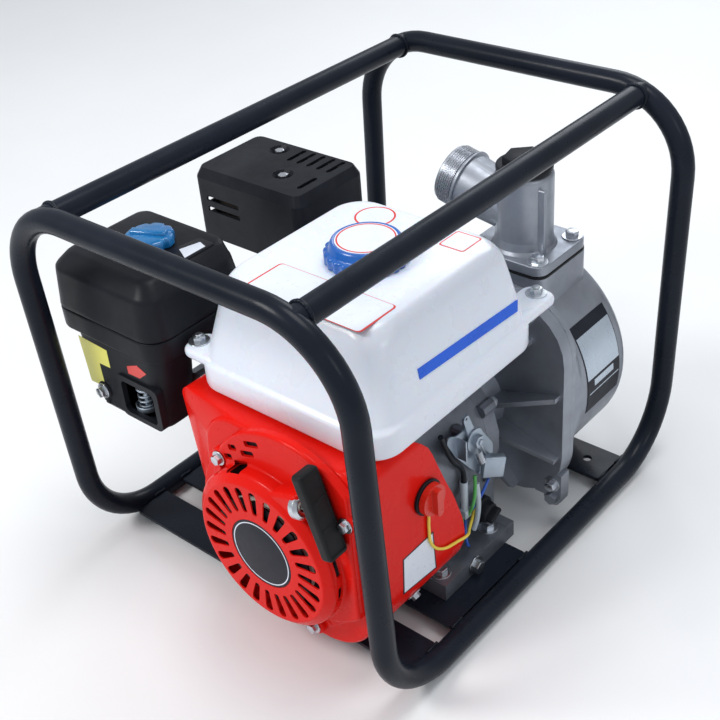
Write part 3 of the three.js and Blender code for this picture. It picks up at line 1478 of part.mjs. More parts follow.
function buildSwitch() {
  const face = crankX + fanCoverRadius + seatGap;
  const z = engineFoot + switchHeight;
  const ring = turned([
    [0, 0], [switchRingRadius, 0], [switchRingRadius, switchRingDepth], [0, switchRingDepth],
  ]).rotateZ(-Math.PI / 2).translate(face, switchY, z);
  add('switch_bezel', ring, blackPlastic);
  const knobFace = face + switchRingDepth + seatGap;
  const drum = turned([
    [0, 0], [switchKnobRadius, 0], [switchKnobRadius - seatGap, switchKnobLength * halfShare],
    [0, switchKnobLength * halfShare],
  ]).rotateZ(-Math.PI / 2).translate(knobFace, switchY, z);
  const handle = alongX(rectangle(-switchHandleWidth / 2, switchHandleWidth / 2,
    -switchKnobRadius + runningGap, switchKnobRadius - runningGap, switchHandleWidth * leverRoundShare, 2),
  knobFace + bondDepth, knobFace + switchKnobLength);
  handle.translate(0, switchY, z);
  add('switch_knob', join(drum, handle), redPlastic);
}

// A lead laid through a few points
function leadThrough(points, diameter, steps) {
  const curve = new THREE.CatmullRomCurve3(points, false, 'centripetal');
  return new THREE.ExtrudeGeometry(new THREE.Shape(circle(0, 0, diameter / 2, leadSides)),
    { steps, extrudePath: curve });
}

function buildLeads() {
  const face = crankX + fanCoverRadius + yellowLeadDiameter / 2 + seatGap;
  const top = engineFoot + switchHeight - switchRingRadius - seatGap;
  const low = engineFoot + leadLowHeight;
  const drop = top - low;
  const run = sleeveY - switchY;
  const edgeY = fanCoverBack - yellowLeadDiameter;
  const leadEndX = crankX + leadEndReach;
  add('switch_lead', leadThrough([
    point(face, switchY, top),
    point(face, switchY - runningGap, top - drop / 4),
    point(face, switchY + runningGap, top - drop / 2),
    point(face, switchY + run / 5, top - drop * 3 / 4),
    point(face, edgeY, low + drop / 8),
    point((face + leadEndX) / 2, (edgeY + sleeveY) / 2, low),
    point(leadEndX, sleeveY + connectorSize * halfShare, low),
    point(leadEndX, sleeveY + connectorSize, engineFoot + leadEndHeight),
  ], yellowLeadDiameter, leadSteps), yellowInsulation);

  const bundleX = crankX + caseRadius + seatGap + sleeveRadius;
  const sleeveTop = engineFoot + sleeveHigh;
  const sleeve = bar(sleeveRadius, point(bundleX, sleeveY, engineFoot + sleeveLow),
    point(bundleX, sleeveY, sleeveTop), roundSides / 2);
  const connector = block([bundleX - connectorSize / 2, bundleX + connectorSize / 2],
    [sleeveY - connectorSize / 2, sleeveY + connectorSize / 2],
    [engineFoot + sleeveLow - connectorSize, engineFoot + sleeveLow + bondDepth]);
  const lead = leadThrough([
    point(bundleX, sleeveY, sleeveTop - bondDepth),
    point(bundleX, sleeveY, sleeveTop + connectorSize),
    point(bundleX + sleeveRadius, (sleeveY + bundleEndY) / 2, (sleeveTop + engineFoot + bundleEndHeight) / 2),
    point(crankX + fanCoverRadius - fanCoverWall - leadBundleDiameter, bundleEndY,
      engineFoot + bundleEndHeight),
  ], leadBundleDiameter, leadSteps / 2);
  add('lead_bundle', join(sleeve, connector, lead), whitePlastic);
}

// Pump adapter: a hub on the engine's face, ten ribs, and the rounded-square rim
function rimOutline(inset) {
  const half = rimHalfWidth - inset;
  const low = rimRise - rimHalfHeight + inset;
  const high = rimRise + rimHalfHeight - inset;
  return rectangle(-half, half, low, high, rimCorner - inset * halfShare, rimSteps);
}

function roundOutline(radius, rise = 0) {
  return rectangle(-radius, radius, rise - radius, rise + radius, radius * fullRoundShare, rimSteps);
}

function buildAdapter() {
  const hubFront = ptoFaceY + seatGap;
  const hub = turned([
    [0, hubFront], [hubRadius + adapterWall, hubFront], [hubRadius + adapterWall, hubFront + adapterWall],
    [hubRadius * adapterNeckShare, hubFront + adapterWall],
    [hubRadius, adapterRimFront + bondDepth], [0, adapterRimFront + bondDepth],
  ]);
  const rim = alongY(rimOutline(0), adapterRimFront, rimBack);
  const rib = new THREE.Shape([
    new THREE.Vector2(hubRadius * halfShare, hubFront + adapterWall * halfShare),
    new THREE.Vector2(rimHalfWidth, adapterRimFront - adapterRimDepth * ribEndShare),
    new THREE.Vector2(rimHalfWidth * 2, adapterRimFront - adapterRimDepth * ribEndShare),
    new THREE.Vector2(rimHalfWidth * 2, adapterRimFront + bondDepth),
    new THREE.Vector2(hubRadius * halfShare, adapterRimFront + bondDepth),
  ]);
  const ribs = Array.from({ length: adapterRibCount }, (_, i) => {
    const blade = new THREE.ExtrudeGeometry(rib, { depth: adapterRibThickness, bevelEnabled: false });
    blade.translate(0, 0, -adapterRibThickness / 2);
    return blade.rotateY(2 * Math.PI * (i + 0.5) / adapterRibCount);
  });
  const trimmed = overlap(join(...ribs), alongY(rimOutline(ribInset), hubFront, rimBack));
  const lugs = [-1, 1].map((side) => {
    const x = [side * (lugReachX - 2 * lugRadius), side * (lugReachX + lugRadius)].sort((a, b) => a - b);
    const centre = (y) => point(side * lugReachX, y, -lugDrop);
    return join(
      bar(lugRadius, centre(adapterRimFront), centre(rimBack)),
      block(x, [adapterRimFront, rimBack], [-lugDrop, -lugDrop + 3 * lugRadius]),
      hexHead(frameBoltHead, frameBoltHeadHeight, centre(adapterRimFront + bondDepth),
        along.clone().negate()),
    );
  });
  const heads = rimBoltAngles.map((angle) => {
    const turn = THREE.MathUtils.degToRad(angle);
    const reach = rimHalfWidth - 2 * lugRadius * halfShare;
    return hexHead(frameBoltHead, frameBoltHeadHeight, point(reach * Math.cos(turn),
      adapterRimFront + bondDepth, rimRise + (reach - rimHalfWidth + rimHalfHeight) * Math.sin(turn)),
    along.clone().negate());
  });
  add('pump_adapter', cut(
    join(hub, rim, trimmed, ...lugs, ...heads),
    bar(shaftDiameter / 2 + runningGap, point(0, hubFront - overrun, 0), point(0, rimBack + overrun, 0),
      roundSides),
    bar(sealRadius + seatGap, point(0, adapterRimFront, 0), point(0, rimBack + overrun, 0), roundSides),
  ), castAluminium, crank);
}

// Casing: from the rim's outline to a round end, with the neck on top and the foot below
function buildCasing() {
  const front = rimBack + seatGap;
  const outer = loftY([
    { outline: rimOutline(0), at: front },
    { outline: rimOutline(0), at: front + adapterWall },
    { outline: rimOutline(casingWall), at: front + adapterWall + casingWall * halfShare },
    { outline: roundOutline(casingEndRadius, casingRise), at: front + casingBlend },
    { outline: roundOutline(casingEndRadius, casingRise), at: casingEndY - casingRound },
    { outline: roundOutline(casingEndRadius - casingRound * cornerDropShare, casingRise),
      at: casingEndY - casingRound * cornerDropShare },
    { outline: roundOutline(casingEndRadius - casingRound, casingRise), at: casingEndY },
  ]);
  const neckLeft = neckX - crankX - neckHalfWidth;
  const neckRight = neckX - crankX + neckHalfWidth;
  const neckTopZ = engineFoot + neckTop - crankZ;
  const neckSolid = alongZ(rectangle(neckLeft, neckRight, neckFront, neckBack, neckCorner), 0, neckTopZ);
  const foot = block([-casingFootWidth / 2, casingFootWidth / 2],
    [casingEndY - casingRound - casingFootLength, casingEndY - casingRound],
    [-crankHeight, -casingEndRadius * halfShare]);
  const boss = bar(suctionFlangeRadius, point(0, casingEndY - casingRound, suctionRise),
    point(0, casingEndY, suctionRise), roundSides);
  const cavity = bar(casingCavityRadius, point(0, front - overrun, casingRise),
    point(0, casingEndY - casingWall, casingRise), roundSides);
  const way = alongZ(rectangle(neckLeft + neckWall, neckRight - neckWall,
    neckFront + neckWall, neckBack - neckWall, neckCorner * halfShare),
  casingCavityRadius * halfShare, neckTopZ + overrun);
  const suction = bar(portBoreDiameter / 2, point(0, casingEndY - casingWall - overrun, suctionRise),
    point(0, casingEndY + overrun, suctionRise), roundSides);
  const hingeZ = suctionRise + flapRadius + flapKnuckleRadius + runningGap;
  const hingeY = casingEndY - casingWall - flapKnuckleRadius - runningGap;
  const hinge = [-1, 1].map((side) => {
    const x = side * (flapKnuckleHalf + seatGap);
    return block(side < 0 ? [x - flapLug, x] : [x, x + flapLug],
      [hingeY - flapKnuckleRadius, casingEndY - casingWall + bondDepth],
      [hingeZ - flapKnuckleRadius, hingeZ + flapKnuckleRadius]);
  });
  const pinHole = bar(flapPinRadius + seatGap, point(-flapKnuckleHalf - flapLug - overrun, hingeY, hingeZ),
    point(flapKnuckleHalf + flapLug + overrun, hingeY, hingeZ));
  const drainBoss = bar(drainBossRadius, point(0, casingEndY - casingRound, drainDrop),
    point(0, casingEndY, drainDrop), smallSides);
  const drain = bar(drainBoltRadius * halfShare + seatGap,
    point(0, casingEndY - casingWall - overrun, drainDrop), point(0, casingEndY + overrun, drainDrop));
  const body = cut(join(outer, neckSolid, foot, boss, drainBoss), cavity, way, suction, drain);
  add('pump_casing', cut(join(body, ...hinge), pinHole), castAluminium, crank);

  const pin = bar(flapPinRadius, point(-flapKnuckleHalf - flapLug, hingeY, hingeZ),
    point(flapKnuckleHalf + flapLug, hingeY, hingeZ));
  add('flap_pin', pin, zincSteel, crank);
  const flapBack = casingEndY - casingWall - seatGap;
  const disc = bar(flapRadius, point(0, flapBack - flapThickness, suctionRise),
    point(0, flapBack, suctionRise), roundSides);
  const tab = block([-flapKnuckleHalf, flapKnuckleHalf], [flapBack - flapThickness, flapBack],
    [suctionRise, hingeZ]);
  const knuckle = bar(flapKnuckleRadius, point(-flapKnuckleHalf, hingeY, hingeZ),
    point(flapKnuckleHalf, hingeY, hingeZ));
  const weight = bar(flapRadius * halfShare, point(0, flapBack - 2 * flapThickness, suctionRise),
    point(0, flapBack - flapThickness + bondDepth, suctionRise), roundSides / 2);
  const flap = cut(join(disc, tab, knuckle, weight), bar(flapPinRadius + seatGap,
    point(-flapKnuckleHalf - overrun, hingeY, hingeZ), point(flapKnuckleHalf + overrun, hingeY, hingeZ)));
  add('check_valve_flap', flap, blackRubber, crank);

  const plugSeat = casingEndY + seatGap;
  const plug = join(
    bar(drainBoltRadius * halfShare, point(0, casingEndY - casingWall, drainDrop),
      point(0, plugSeat + bondDepth, drainDrop)),
    bar(drainBoltRadius, point(0, plugSeat, drainDrop), point(0, plugSeat + washerThickness, drainDrop)),
    hexHead(frameBoltHead, frameBoltHeadHeight,
      point(0, plugSeat + washerThickness - bondDepth, drainDrop), along),
  );
  add('casing_drain_plug', plug, bronzeGrey, crank);
}

// Volute, seal and impeller
function buildPumpInside() {
  const front = rimBack + seatGap;
  const back = voluteFront + voluteDepth;
  const volute = turned([
    [voluteOuter - voluteWall, front], [voluteOuter, front], [voluteOuter, back],
    [impellerEye, back], [impellerEye, back - voluteWall], [voluteOuter - voluteWall, back - voluteWall],
    [voluteOuter - voluteWall, front],
  ], hiddenSides);
  const outletX = neckX - crankX;
  const outletHalf = neckHalfWidth * halfShare;
  const outlet = block([outletX - outletHalf, outletX + outletHalf],
    [front + voluteWall, back - 2 * voluteWall], [voluteOuter * halfShare, voluteOuter + overrun]);
  add('volute', cut(volute, outlet), darkCasting, crank);

  const tail = shaftDiameter / 2 * shaftTailShare;
  const seal = turned([
    [tail + seatGap, adapterRimFront + seatGap], [sealRadius, adapterRimFront + seatGap],
    [sealRadius, rimBack], [sealRadius * sealNoseShare, rimBack],
    [sealRadius * sealNoseShare, impellerFront - seatGap], [tail + seatGap, impellerFront - seatGap],
    [tail + seatGap, adapterRimFront + seatGap],
  ], hiddenSides);
  add('shaft_seal', seal, blackRubber, crank);

  const bore = tail + seatGap;
  const disc = turned([
    [0, impellerFront], [impellerRadius, impellerFront],
    [impellerRadius, impellerFront + adapterWall * halfShare],
    [impellerEye * eyeHubShare, impellerFront + adapterWall],
    [impellerEye * eyeHubShare, impellerFront + impellerDepth], [0, impellerFront + impellerDepth],
  ]);
  const vanes = Array.from({ length: impellerVaneCount }, (_, i) => {
    const line = Array.from({ length: vanePointCount }, (__, k) => {
      const share = k / (vanePointCount - 1);
      const radius = THREE.MathUtils.lerp(impellerEye * halfShare, impellerRadius, share);
      const turn = 2 * Math.PI * i / impellerVaneCount + THREE.MathUtils.degToRad(vaneSweep) * share;
      return [radius, turn];
    });
    const side = (shift) => line.map(([radius, turn]) => new THREE.Vector2(
      radius * Math.cos(turn) - shift * Math.sin(turn),
      radius * Math.sin(turn) + shift * Math.cos(turn)));
    const outline = [...side(-vaneThickness / 2), ...side(vaneThickness / 2).reverse()];
    return alongY(outline, impellerFront + bondDepth, impellerFront + impellerDepth * vaneShare);
  });
  const rimCutter = bar(impellerRadius, point(0, impellerFront, 0),
    point(0, impellerFront + impellerDepth, 0), roundSides);
  const shaftBore = bar(bore, point(0, impellerFront - overrun, 0),
    point(0, impellerFront + impellerDepth + overrun, 0), roundSides / 2);
  add('impeller', cut(overlap(join(disc, ...vanes), rimCutter), shaftBore), bronzeGrey, crank);
}

// A threaded pipe end along Y, with rings of thread near its mouth
function threadedBar(length, outer, y0) {
  const crest = outer / 2;
  const root = crest - threadDepth;
  const start = y0 + length - threadPitch * threadTurnCount;
  const profile = [[0, y0], [root, y0], [root, start]];
  for (let i = 0; i < threadTurnCount; i += 1) {
    const at = start + i * threadPitch;
    profile.push([crest, at + threadPitch * threadCrestShare], [root, at + threadPitch * threadRootShare]);
  }
  profile.push([root, y0 + length], [0, y0 + length]);
  return turned(profile, roundSides);
}

function buildDischarge() {
  const left = neckX - neckHalfWidth;
  const right = neckX + neckHalfWidth;
  const neckTopZ = engineFoot + neckTop;
  const seat = neckTopZ + seatGap;
  const gasket = alongZ(rectangle(left, right, neckFront, neckBack, neckCorner), seat, seat + gasketThickness,
    [circle(neckX, dischargeY, portBoreDiameter / 2 + gasketThickness)]);
  add('discharge_gasket', gasket, blackRubber);

  const base = seat + gasketThickness + seatGap;
  const flangeTop = base + elbowFlangeThickness;
  const top = engineFoot + elbowTop;
  const flange = alongZ(rectangle(left, right, neckFront, neckBack, neckCorner), base, flangeTop);
  const column = turnedUp([
    [0, base], [columnRadius, base], [columnRadius, top - elbowRound],
    [columnRadius - elbowRound, top], [0, top],
  ]).translate(neckX, dischargeY, 0);
  const ridge = block([neckX, neckX + columnRadius + ridgeRise],
    [dischargeY - columnRadius * halfShare, dischargeY - columnRadius * halfShare + ridgeRise],
    [flangeTop - bondDepth, top - 2 * elbowRound]);
  const tilt = THREE.MathUtils.degToRad(dischargeTilt);
  const pipeZ = engineFoot + dischargeCentreHeight;
  const onPipe = (geometry) => (
    geometry.rotateZ(Math.PI / 2).rotateY(tilt).translate(neckX, dischargeY, pipeZ));
  const threadLength = threadPitch * (threadTurnCount + 1);
  const mouth = portOuterDiameter / 2;
  const coneEnd = dischargeReach - threadLength - collarDepth;
  const pipe = onPipe(turned([
    [0, 0], [coneEndRadius, 0], [mouth - threadDepth, coneEnd], [mouth + collarRise, coneEnd],
    [mouth + collarRise, coneEnd + collarDepth], [0, coneEnd + collarDepth],
  ]));
  const stub = onPipe(threadedBar(threadLength + bondDepth, portOuterDiameter,
    dischargeReach - threadLength - bondDepth));
  const throatEnd = point(-dischargeReach * halfShare * Math.cos(tilt), 0,
    dischargeReach * halfShare * Math.sin(tilt));
  const throat = tube(new BentPath([
    point(neckX, dischargeY, flangeTop - bondDepth), point(neckX, dischargeY, pipeZ),
    throatEnd.add(point(neckX, dischargeY, pipeZ)),
  ], throatRadius), 2 * coneEndRadius * throatShare);
  const pipeBore = onPipe(bar(portBoreDiameter / 2 - threadDepth, point(0, 0, 0),
    point(0, dischargeReach + overrun, 0), roundSides));
  const columnBore = bar(portBoreDiameter / 2 - threadDepth, point(neckX, dischargeY, base - overrun),
    point(neckX, dischargeY, pipeZ + portBoreDiameter * elbowDomeShare), roundSides);
  const priming = bar(primingBore / 2, point(neckX, dischargeY, pipeZ),
    point(neckX, dischargeY, top + overrun), roundSides / 2);
  const boltX = [left + neckCorner, right - neckCorner];
  const boltY = [neckFront + neckCorner, neckBack - neckCorner];
  const bolts = boltX.flatMap((x) => boltY.map((y) => (
    hexHead(frameBoltHead, frameBoltHeadHeight, point(x, y, flangeTop - bondDepth), up))));
  const body = join(flange, column, ridge, throat, pipe, stub, ...bolts);
  add('discharge_elbow', cut(body, pipeBore, columnBore, priming), castAluminium);

  const plugSeat = top + seatGap;
  const plug = join(
    bar(primingBore / 2 - seatGap, point(neckX, dischargeY, plugSeat - primingPlugHeight),
      point(neckX, dischargeY, plugSeat + bondDepth), roundSides / 2),
    turnedUp([
      [0, 0], [primingPlugRadius, 0], [primingPlugRadius, primingPlugHeight * halfShare],
      [0, primingPlugHeight * halfShare],
    ], roundSides).translate(neckX, dischargeY, plugSeat),
    hexHead(primingPlugHex, primingPlugHeight, point(neckX, dischargeY, plugSeat + bondDepth), up),
  );
  add('priming_plug', plug, blackPlastic);
}

function buildSuction() {
  const y0 = casingEndY + seatGap;
  const flange = bar(suctionFlangeRadius, point(0, y0, suctionRise),
    point(0, y0 + suctionFlangeThickness, suctionRise), roundSides);
  const stub = threadedBar(suctionLength, portOuterDiameter, y0).translate(0, 0, suctionRise);
  const bolts = Array.from({ length: suctionBoltCount }, (_, i) => {
    const angle = 2 * Math.PI * (i + halfShare) / suctionBoltCount;
    const reach = suctionFlangeRadius * suctionBoltShare;
    return hexHead(smallHead, smallHeadHeight, point(reach * Math.cos(angle),
      y0 + suctionFlangeThickness - bondDepth, suctionRise + reach * Math.sin(angle)), along);
  });
  const bore = bar(portBoreDiameter / 2, point(0, y0 - overrun, suctionRise),
    point(0, y0 + suctionLength + overrun, suctionRise), roundSides);
  add('suction_flange', cut(join(flange, stub, ...bolts), bore), castAluminium, crank);
}

buildFrame();
buildCrossPlates();
buildCrankcase();
buildCylinder();
buildRotor();
buildFanCover();
buildRecoilHousing();
buildStarter();
buildTank();
buildAirCleaner();
buildExhaust();
buildCarburettor();
buildControls();
buildSwitch();
buildLeads();
buildAdapter();
buildCasing();
buildPumpInside();
buildDischarge();
buildSuction();

export default pump;
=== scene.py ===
"""Portable petrol-engine water pump: the finished surfaces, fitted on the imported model."""
import json
import bmesh
import bpy
from math import acos, atan2, cos, pi, radians, sin, sqrt, tan
from mathutils import Matrix, Vector


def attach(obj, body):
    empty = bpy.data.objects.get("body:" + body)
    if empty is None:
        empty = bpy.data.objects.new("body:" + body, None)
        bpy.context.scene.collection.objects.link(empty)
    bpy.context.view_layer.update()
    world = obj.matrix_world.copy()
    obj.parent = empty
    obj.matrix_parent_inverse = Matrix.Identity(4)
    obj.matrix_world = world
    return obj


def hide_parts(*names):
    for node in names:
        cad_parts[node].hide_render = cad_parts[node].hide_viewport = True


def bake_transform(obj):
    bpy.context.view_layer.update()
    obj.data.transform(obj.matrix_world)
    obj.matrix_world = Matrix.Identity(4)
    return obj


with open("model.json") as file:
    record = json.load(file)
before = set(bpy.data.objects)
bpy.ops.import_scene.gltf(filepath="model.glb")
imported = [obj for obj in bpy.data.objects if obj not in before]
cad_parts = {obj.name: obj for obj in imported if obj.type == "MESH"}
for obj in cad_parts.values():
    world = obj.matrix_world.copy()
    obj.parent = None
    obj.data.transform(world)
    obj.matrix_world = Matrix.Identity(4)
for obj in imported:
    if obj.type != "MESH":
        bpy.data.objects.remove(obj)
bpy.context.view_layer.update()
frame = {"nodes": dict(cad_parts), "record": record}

# Sizes are written in millimetres and turned into metres where a piece is made
MM = 0.001
X, Y, Z = Vector((1, 0, 0)), Vector((0, 1, 0)), Vector((0, 0, 1))
CRANK = Vector((61, 0, 122.3))      # a point on the crankshaft's axis, which runs along Y
ROPE_LEAN = -18     # how the rope's way out leans round the crank, degrees
FILLER = (56, -63)      # middle of the tank's filler neck
STUD = (-137, -140)     # middle of the air cleaner's stud and knob
NECK = (85, 131)        # middle of the pump's discharge neck
CASING = (61, 130.3)    # middle of the pump casing, x and z


def leave_edit():
    bpy.ops.object.mode_set(mode='OBJECT')


def free():
    if bpy.context.object and bpy.context.object.mode == 'EDIT':
        leave_edit()
    bpy.ops.object.select_all(action='DESELECT')


def only(piece):
    free()
    piece.select_set(True)
    bpy.context.view_layer.objects.active = piece


def named(name):
    """The object that was just added, with its name."""
    piece = bpy.context.object
    piece.name = name
    return piece


def modify(piece, kind, **settings):
    """Adds a modifier with its settings and applies it."""
    only(piece)
    bpy.ops.object.modifier_add(type=kind)
    for setting, value in settings.items():
        setattr(piece.modifiers[-1], setting, value)
    bpy.ops.object.modifier_apply(modifier=piece.modifiers[-1].name)


def all_chosen():
    bpy.ops.mesh.select_all(action='SELECT')


def edit(piece, mode='VERT'):
    only(piece)
    bpy.ops.object.mode_set(mode='EDIT')
    bpy.ops.mesh.select_mode(type=mode)
    all_chosen()


def pick(piece, mode, wanted):
    """Selects the corners, edges or faces for which wanted(item) is true."""
    bpy.ops.mesh.select_mode(type=mode)
    bpy.ops.mesh.select_all(action='DESELECT')
    shape = bmesh.from_edit_mesh(piece.data)
    for item in {'VERT': shape.verts, 'EDGE': shape.edges, 'FACE': shape.faces}[mode]:
        if wanted(item):
            item.select_set(True)
    shape.select_flush_mode()
    bmesh.update_edit_mesh(piece.data)


def middle(edge):
    """The middle of an edge in millimetres."""
    return (edge.verts[0].co + edge.verts[1].co) / 2 / MM


def level(edge):
    return abs(edge.verts[0].co.z - edge.verts[1].co.z) < 0.0001


def bevel(piece, width, segments, wanted=None):
    """Rounds all edges of a piece, or those for which wanted(edge) is true."""
    edit(piece, 'EDGE')
    if wanted:
        pick(piece, 'EDGE', wanted)
    bpy.ops.mesh.bevel(offset=width * MM, segments=segments, affect='EDGES')
    leave_edit()


def push(reach):
    """Extrudes what is selected by a vector in millimetres."""
    bpy.ops.mesh.extrude_region_move(TRANSFORM_OT_translate={"value": reach * MM})


def settle(piece):
    """Puts the piece's place into its mesh."""
    only(piece)
    bpy.ops.object.transform_apply(location=True, rotation=True, scale=True)
    return piece


def shift(by):
    """The matrix that moves by millimetres."""
    return Matrix.Translation(Vector(by) * MM)


def swing(angle, axis):
    """The matrix that turns by degrees about an axis through the origin."""
    return Matrix.Rotation(radians(angle), 4, axis)


def place(piece, matrix):
    piece.matrix_world = matrix
    return settle(piece)


def closed(piece):
    """Merges doubles and turns all faces outwards."""
    edit(piece)
    bpy.ops.mesh.remove_doubles(threshold=0.00001)
    all_chosen()
    bpy.ops.mesh.normals_make_consistent(inside=False)
    leave_edit()
    return piece


def smooth(piece, angle=35):
    only(piece)
    bpy.ops.object.shade_smooth_by_angle(angle=radians(angle))
    return piece


def soften(piece, width, angle=30, segments=2):
    """Rounds every edge that is sharper than the angle."""
    modify(piece, 'BEVEL', width=width * MM, segments=segments, limit_method='ANGLE',
           angle_limit=radians(angle), miter_outer='MITER_ARC')
    smooth(piece)
    modify(piece, 'WEIGHTED_NORMAL', keep_sharp=True)
    return piece


def combine(piece, tools, how):
    for tool in tools:
        modify(piece, 'BOOLEAN', operation=how, solver='EXACT', object=tool)
        only(tool)
        bpy.ops.object.delete()
    return piece


def cut(piece, *tools):
    return combine(piece, tools, 'DIFFERENCE')


def fuse(piece, *tools):
    return combine(piece, tools, 'UNION')


def gather(name, pieces):
    """Joins loose pieces into one object."""
    free()
    for piece in pieces:
        piece.select_set(True)
    bpy.context.view_layer.objects.active = pieces[0]
    if len(pieces) > 1:
        bpy.ops.object.join()
    pieces[0].name = name
    return pieces[0]


def copied(piece, turn, centre, axis=Z):
    """A copy with its own mesh, turned in degrees about an axis through a centre."""
    only(piece)
    bpy.ops.object.duplicate(linked=False)
    centre = Vector(centre)
    return place(bpy.context.object, shift(centre) @ swing(turn, axis) @ shift(-centre))


def copied_about(piece, turn, centre, axis=Z):
    """Turns a piece about a centre and keeps only the turned one."""
    twin = copied(piece, turn, centre, axis)
    bpy.data.objects.remove(piece)
    return twin


def turned_copies(piece, count, axis, centre):
    """The piece with count - 1 copies, spread evenly about a centre."""
    return [piece] + [copied(piece, 360 * i / count, centre, axis) for i in range(1, count)]


def aim(piece, at, direction, roll=0):
    """Stands a piece made round +Z at the origin on a point, facing a direction."""
    facing = Vector(direction).to_track_quat('Z', 'Y').to_matrix().to_4x4()
    return place(piece, shift(at) @ facing @ swing(roll, 'Z'))


def rounded(corners, steps=5):
    """A closed outline whose corners are (u, v) or (u, v, radius)."""
    points = []
    count = len(corners)
    for i, corner in enumerate(corners):
        at = Vector(corner[:2])
        radius = corner[2] if len(corner) > 2 else 0
        if radius <= 0:
            points.append(at)
            continue
        before = (Vector(corners[i - 1][:2]) - at).normalized()
        after = (Vector(corners[(i + 1) % count][:2]) - at).normalized()
        half = acos(max(-1, min(1, before.dot(after)))) / 2
        centre = at + (before + after).normalized() * (radius / sin(half))
        first = at + before * (radius / tan(half)) - centre
        last = at + after * (radius / tan(half)) - centre
        sweep = atan2(first.x * last.y - first.y * last.x, first.dot(last))
        for k in range(steps + 1):
            angle = sweep * k / steps
            points.append(centre + Vector((first.x * cos(angle) - first.y * sin(angle),
                                           first.x * sin(angle) + first.y * cos(angle))))
    return points


def oblong(u0, u1, v0, v1, radius, steps=5):
    return rounded([(u0, v0, radius), (u1, v0, radius), (u1, v1, radius), (u0, v1, radius)], steps)


def polar(u, v, radius, angle):
    return Vector((u + radius * cos(angle), v + radius * sin(angle)))


def ring(u, v, radius, count=64):
    return [polar(u, v, radius, 2 * pi * i / count) for i in range(count)]


def at_height(outline, w, axis='Z'):
    """Outline points put where their third coordinate, along the axis, is w."""
    return [Vector({'X': (w, p[0], p[1]), 'Y': (p[0], w, p[1]), 'Z': (p[0], p[1], w)}[axis])
            for p in outline]


def wire(name, points):
    """A run of edges through points in millimetres, drawn corner by corner."""
    free()
    bpy.ops.mesh.primitive_plane_add(size=MM, location=points[0] * MM)
    piece = named(name)
    edit(piece)
    bpy.ops.mesh.merge(type='CENTER')
    for a, b in zip(points, points[1:]):
        push(b - a)
    all_chosen()
    return piece


def sheet_of(name, points):
    """A flat face with the given outline, left in edit mode with the face selected."""
    piece = wire(name, points)
    bpy.ops.mesh.edge_face_add()
    return piece


def prism(name, outline, axis, low, high):
    """An outline pushed along X, Y or Z."""
    piece = sheet_of(name, at_height(outline, low, axis))
    push({'X': X, 'Y': Y, 'Z': Z}[axis] * (high - low))
    return settle(closed(piece))


def loft(name, rings):
    """Rings with the same number of corners, pushed out one from the next."""
    piece = sheet_of(name, rings[0])
    origin = rings[0][0]
    step = Vector((0.7, 0.4, 0.9))
    for last, following in zip(rings, rings[1:]):
        push(step)
        shape = bmesh.from_edit_mesh(piece.data)
        fresh = [corner for corner in shape.verts if corner.select]
        for old, new in zip(last, following):
            expected = (old + step - origin) * MM
            corner = min(fresh, key=lambda c: (c.co - expected).length_squared)
            fresh.remove(corner)
            corner.co = (new - origin) * MM
        bmesh.update_edit_mesh(piece.data)
    return settle(closed(piece))


def lathe(name, profile, steps=64, turn=360):
    """A profile of (radius, height) or (radius, height, rounding) spun round Z at the origin."""
    outline = rounded(profile, 4)
    piece = wire(name, [Vector((p[0], 0, p[1])) for p in outline])
    bpy.ops.mesh.edge_face_add()
    bpy.ops.mesh.delete(type='ONLY_FACE')
    all_chosen()
    bpy.ops.mesh.spin(steps=steps, angle=radians(turn), center=(0, 0, 0), axis=(0, 0, 1))
    return settle(closed(piece))


def turned(name, profile, at, direction, steps=64):
    return aim(lathe(name, profile, steps), at, direction)


def collar(low, high, inner, outer, edge=0, top_edge=0):
    """The profile of a flat ring, from one height to another and between two radii."""
    return [(inner, low), (outer, low, edge), (outer, high, top_edge), (inner, high)]


def rod(name, radius, start, end, edge=0.4, steps=32):
    start = Vector(start)
    reach = Vector(end) - start
    profile = [(0, 0), (radius, 0, edge), (radius, reach.length, edge), (0, reach.length)]
    return turned(name, profile, start, reach, steps)


def box(name, low, high, edge=0, segments=3):
    low = Vector(low) * MM
    high = Vector(high) * MM
    free()
    bpy.ops.mesh.primitive_cube_add(size=1, location=(low + high) / 2)
    piece = named(name)
    piece.scale = high - low
    settle(piece)
    if edge:
        bevel(piece, edge, segments)
    return piece


def bent_tube(name, radius, corners, bend, sides=40, steps=14):
    """A round tube: a circle pushed along the straight runs and spun round each bend."""
    corners = [Vector(c) for c in corners]
    heading = (corners[1] - corners[0]).normalized()
    free()
    bpy.ops.mesh.primitive_circle_add(vertices=sides, radius=radius * MM, location=corners[0] * MM,
                                      rotation=heading.to_track_quat('Z', 'Y').to_euler())
    piece = named(name)
    settle(piece)
    edit(piece)
    here = corners[0]
    for corner, following in zip(corners[1:], corners[2:]):
        into = (corner - here).normalized()
        out = (following - corner).normalized()
        angle = into.angle(out)
        start = corner - into * (bend * tan(angle / 2))
        push(start - here)
        axis = into.cross(out).normalized()
        centre = start + axis.cross(into) * bend
        bpy.ops.mesh.spin(steps=steps, angle=-angle, center=centre * MM, axis=axis)
        here = corner + out * (bend * tan(angle / 2))
    push(corners[-1] - here)
    all_chosen()
    bpy.ops.mesh.fill_holes(sides=0)
    closed(piece)
    return smooth(piece)


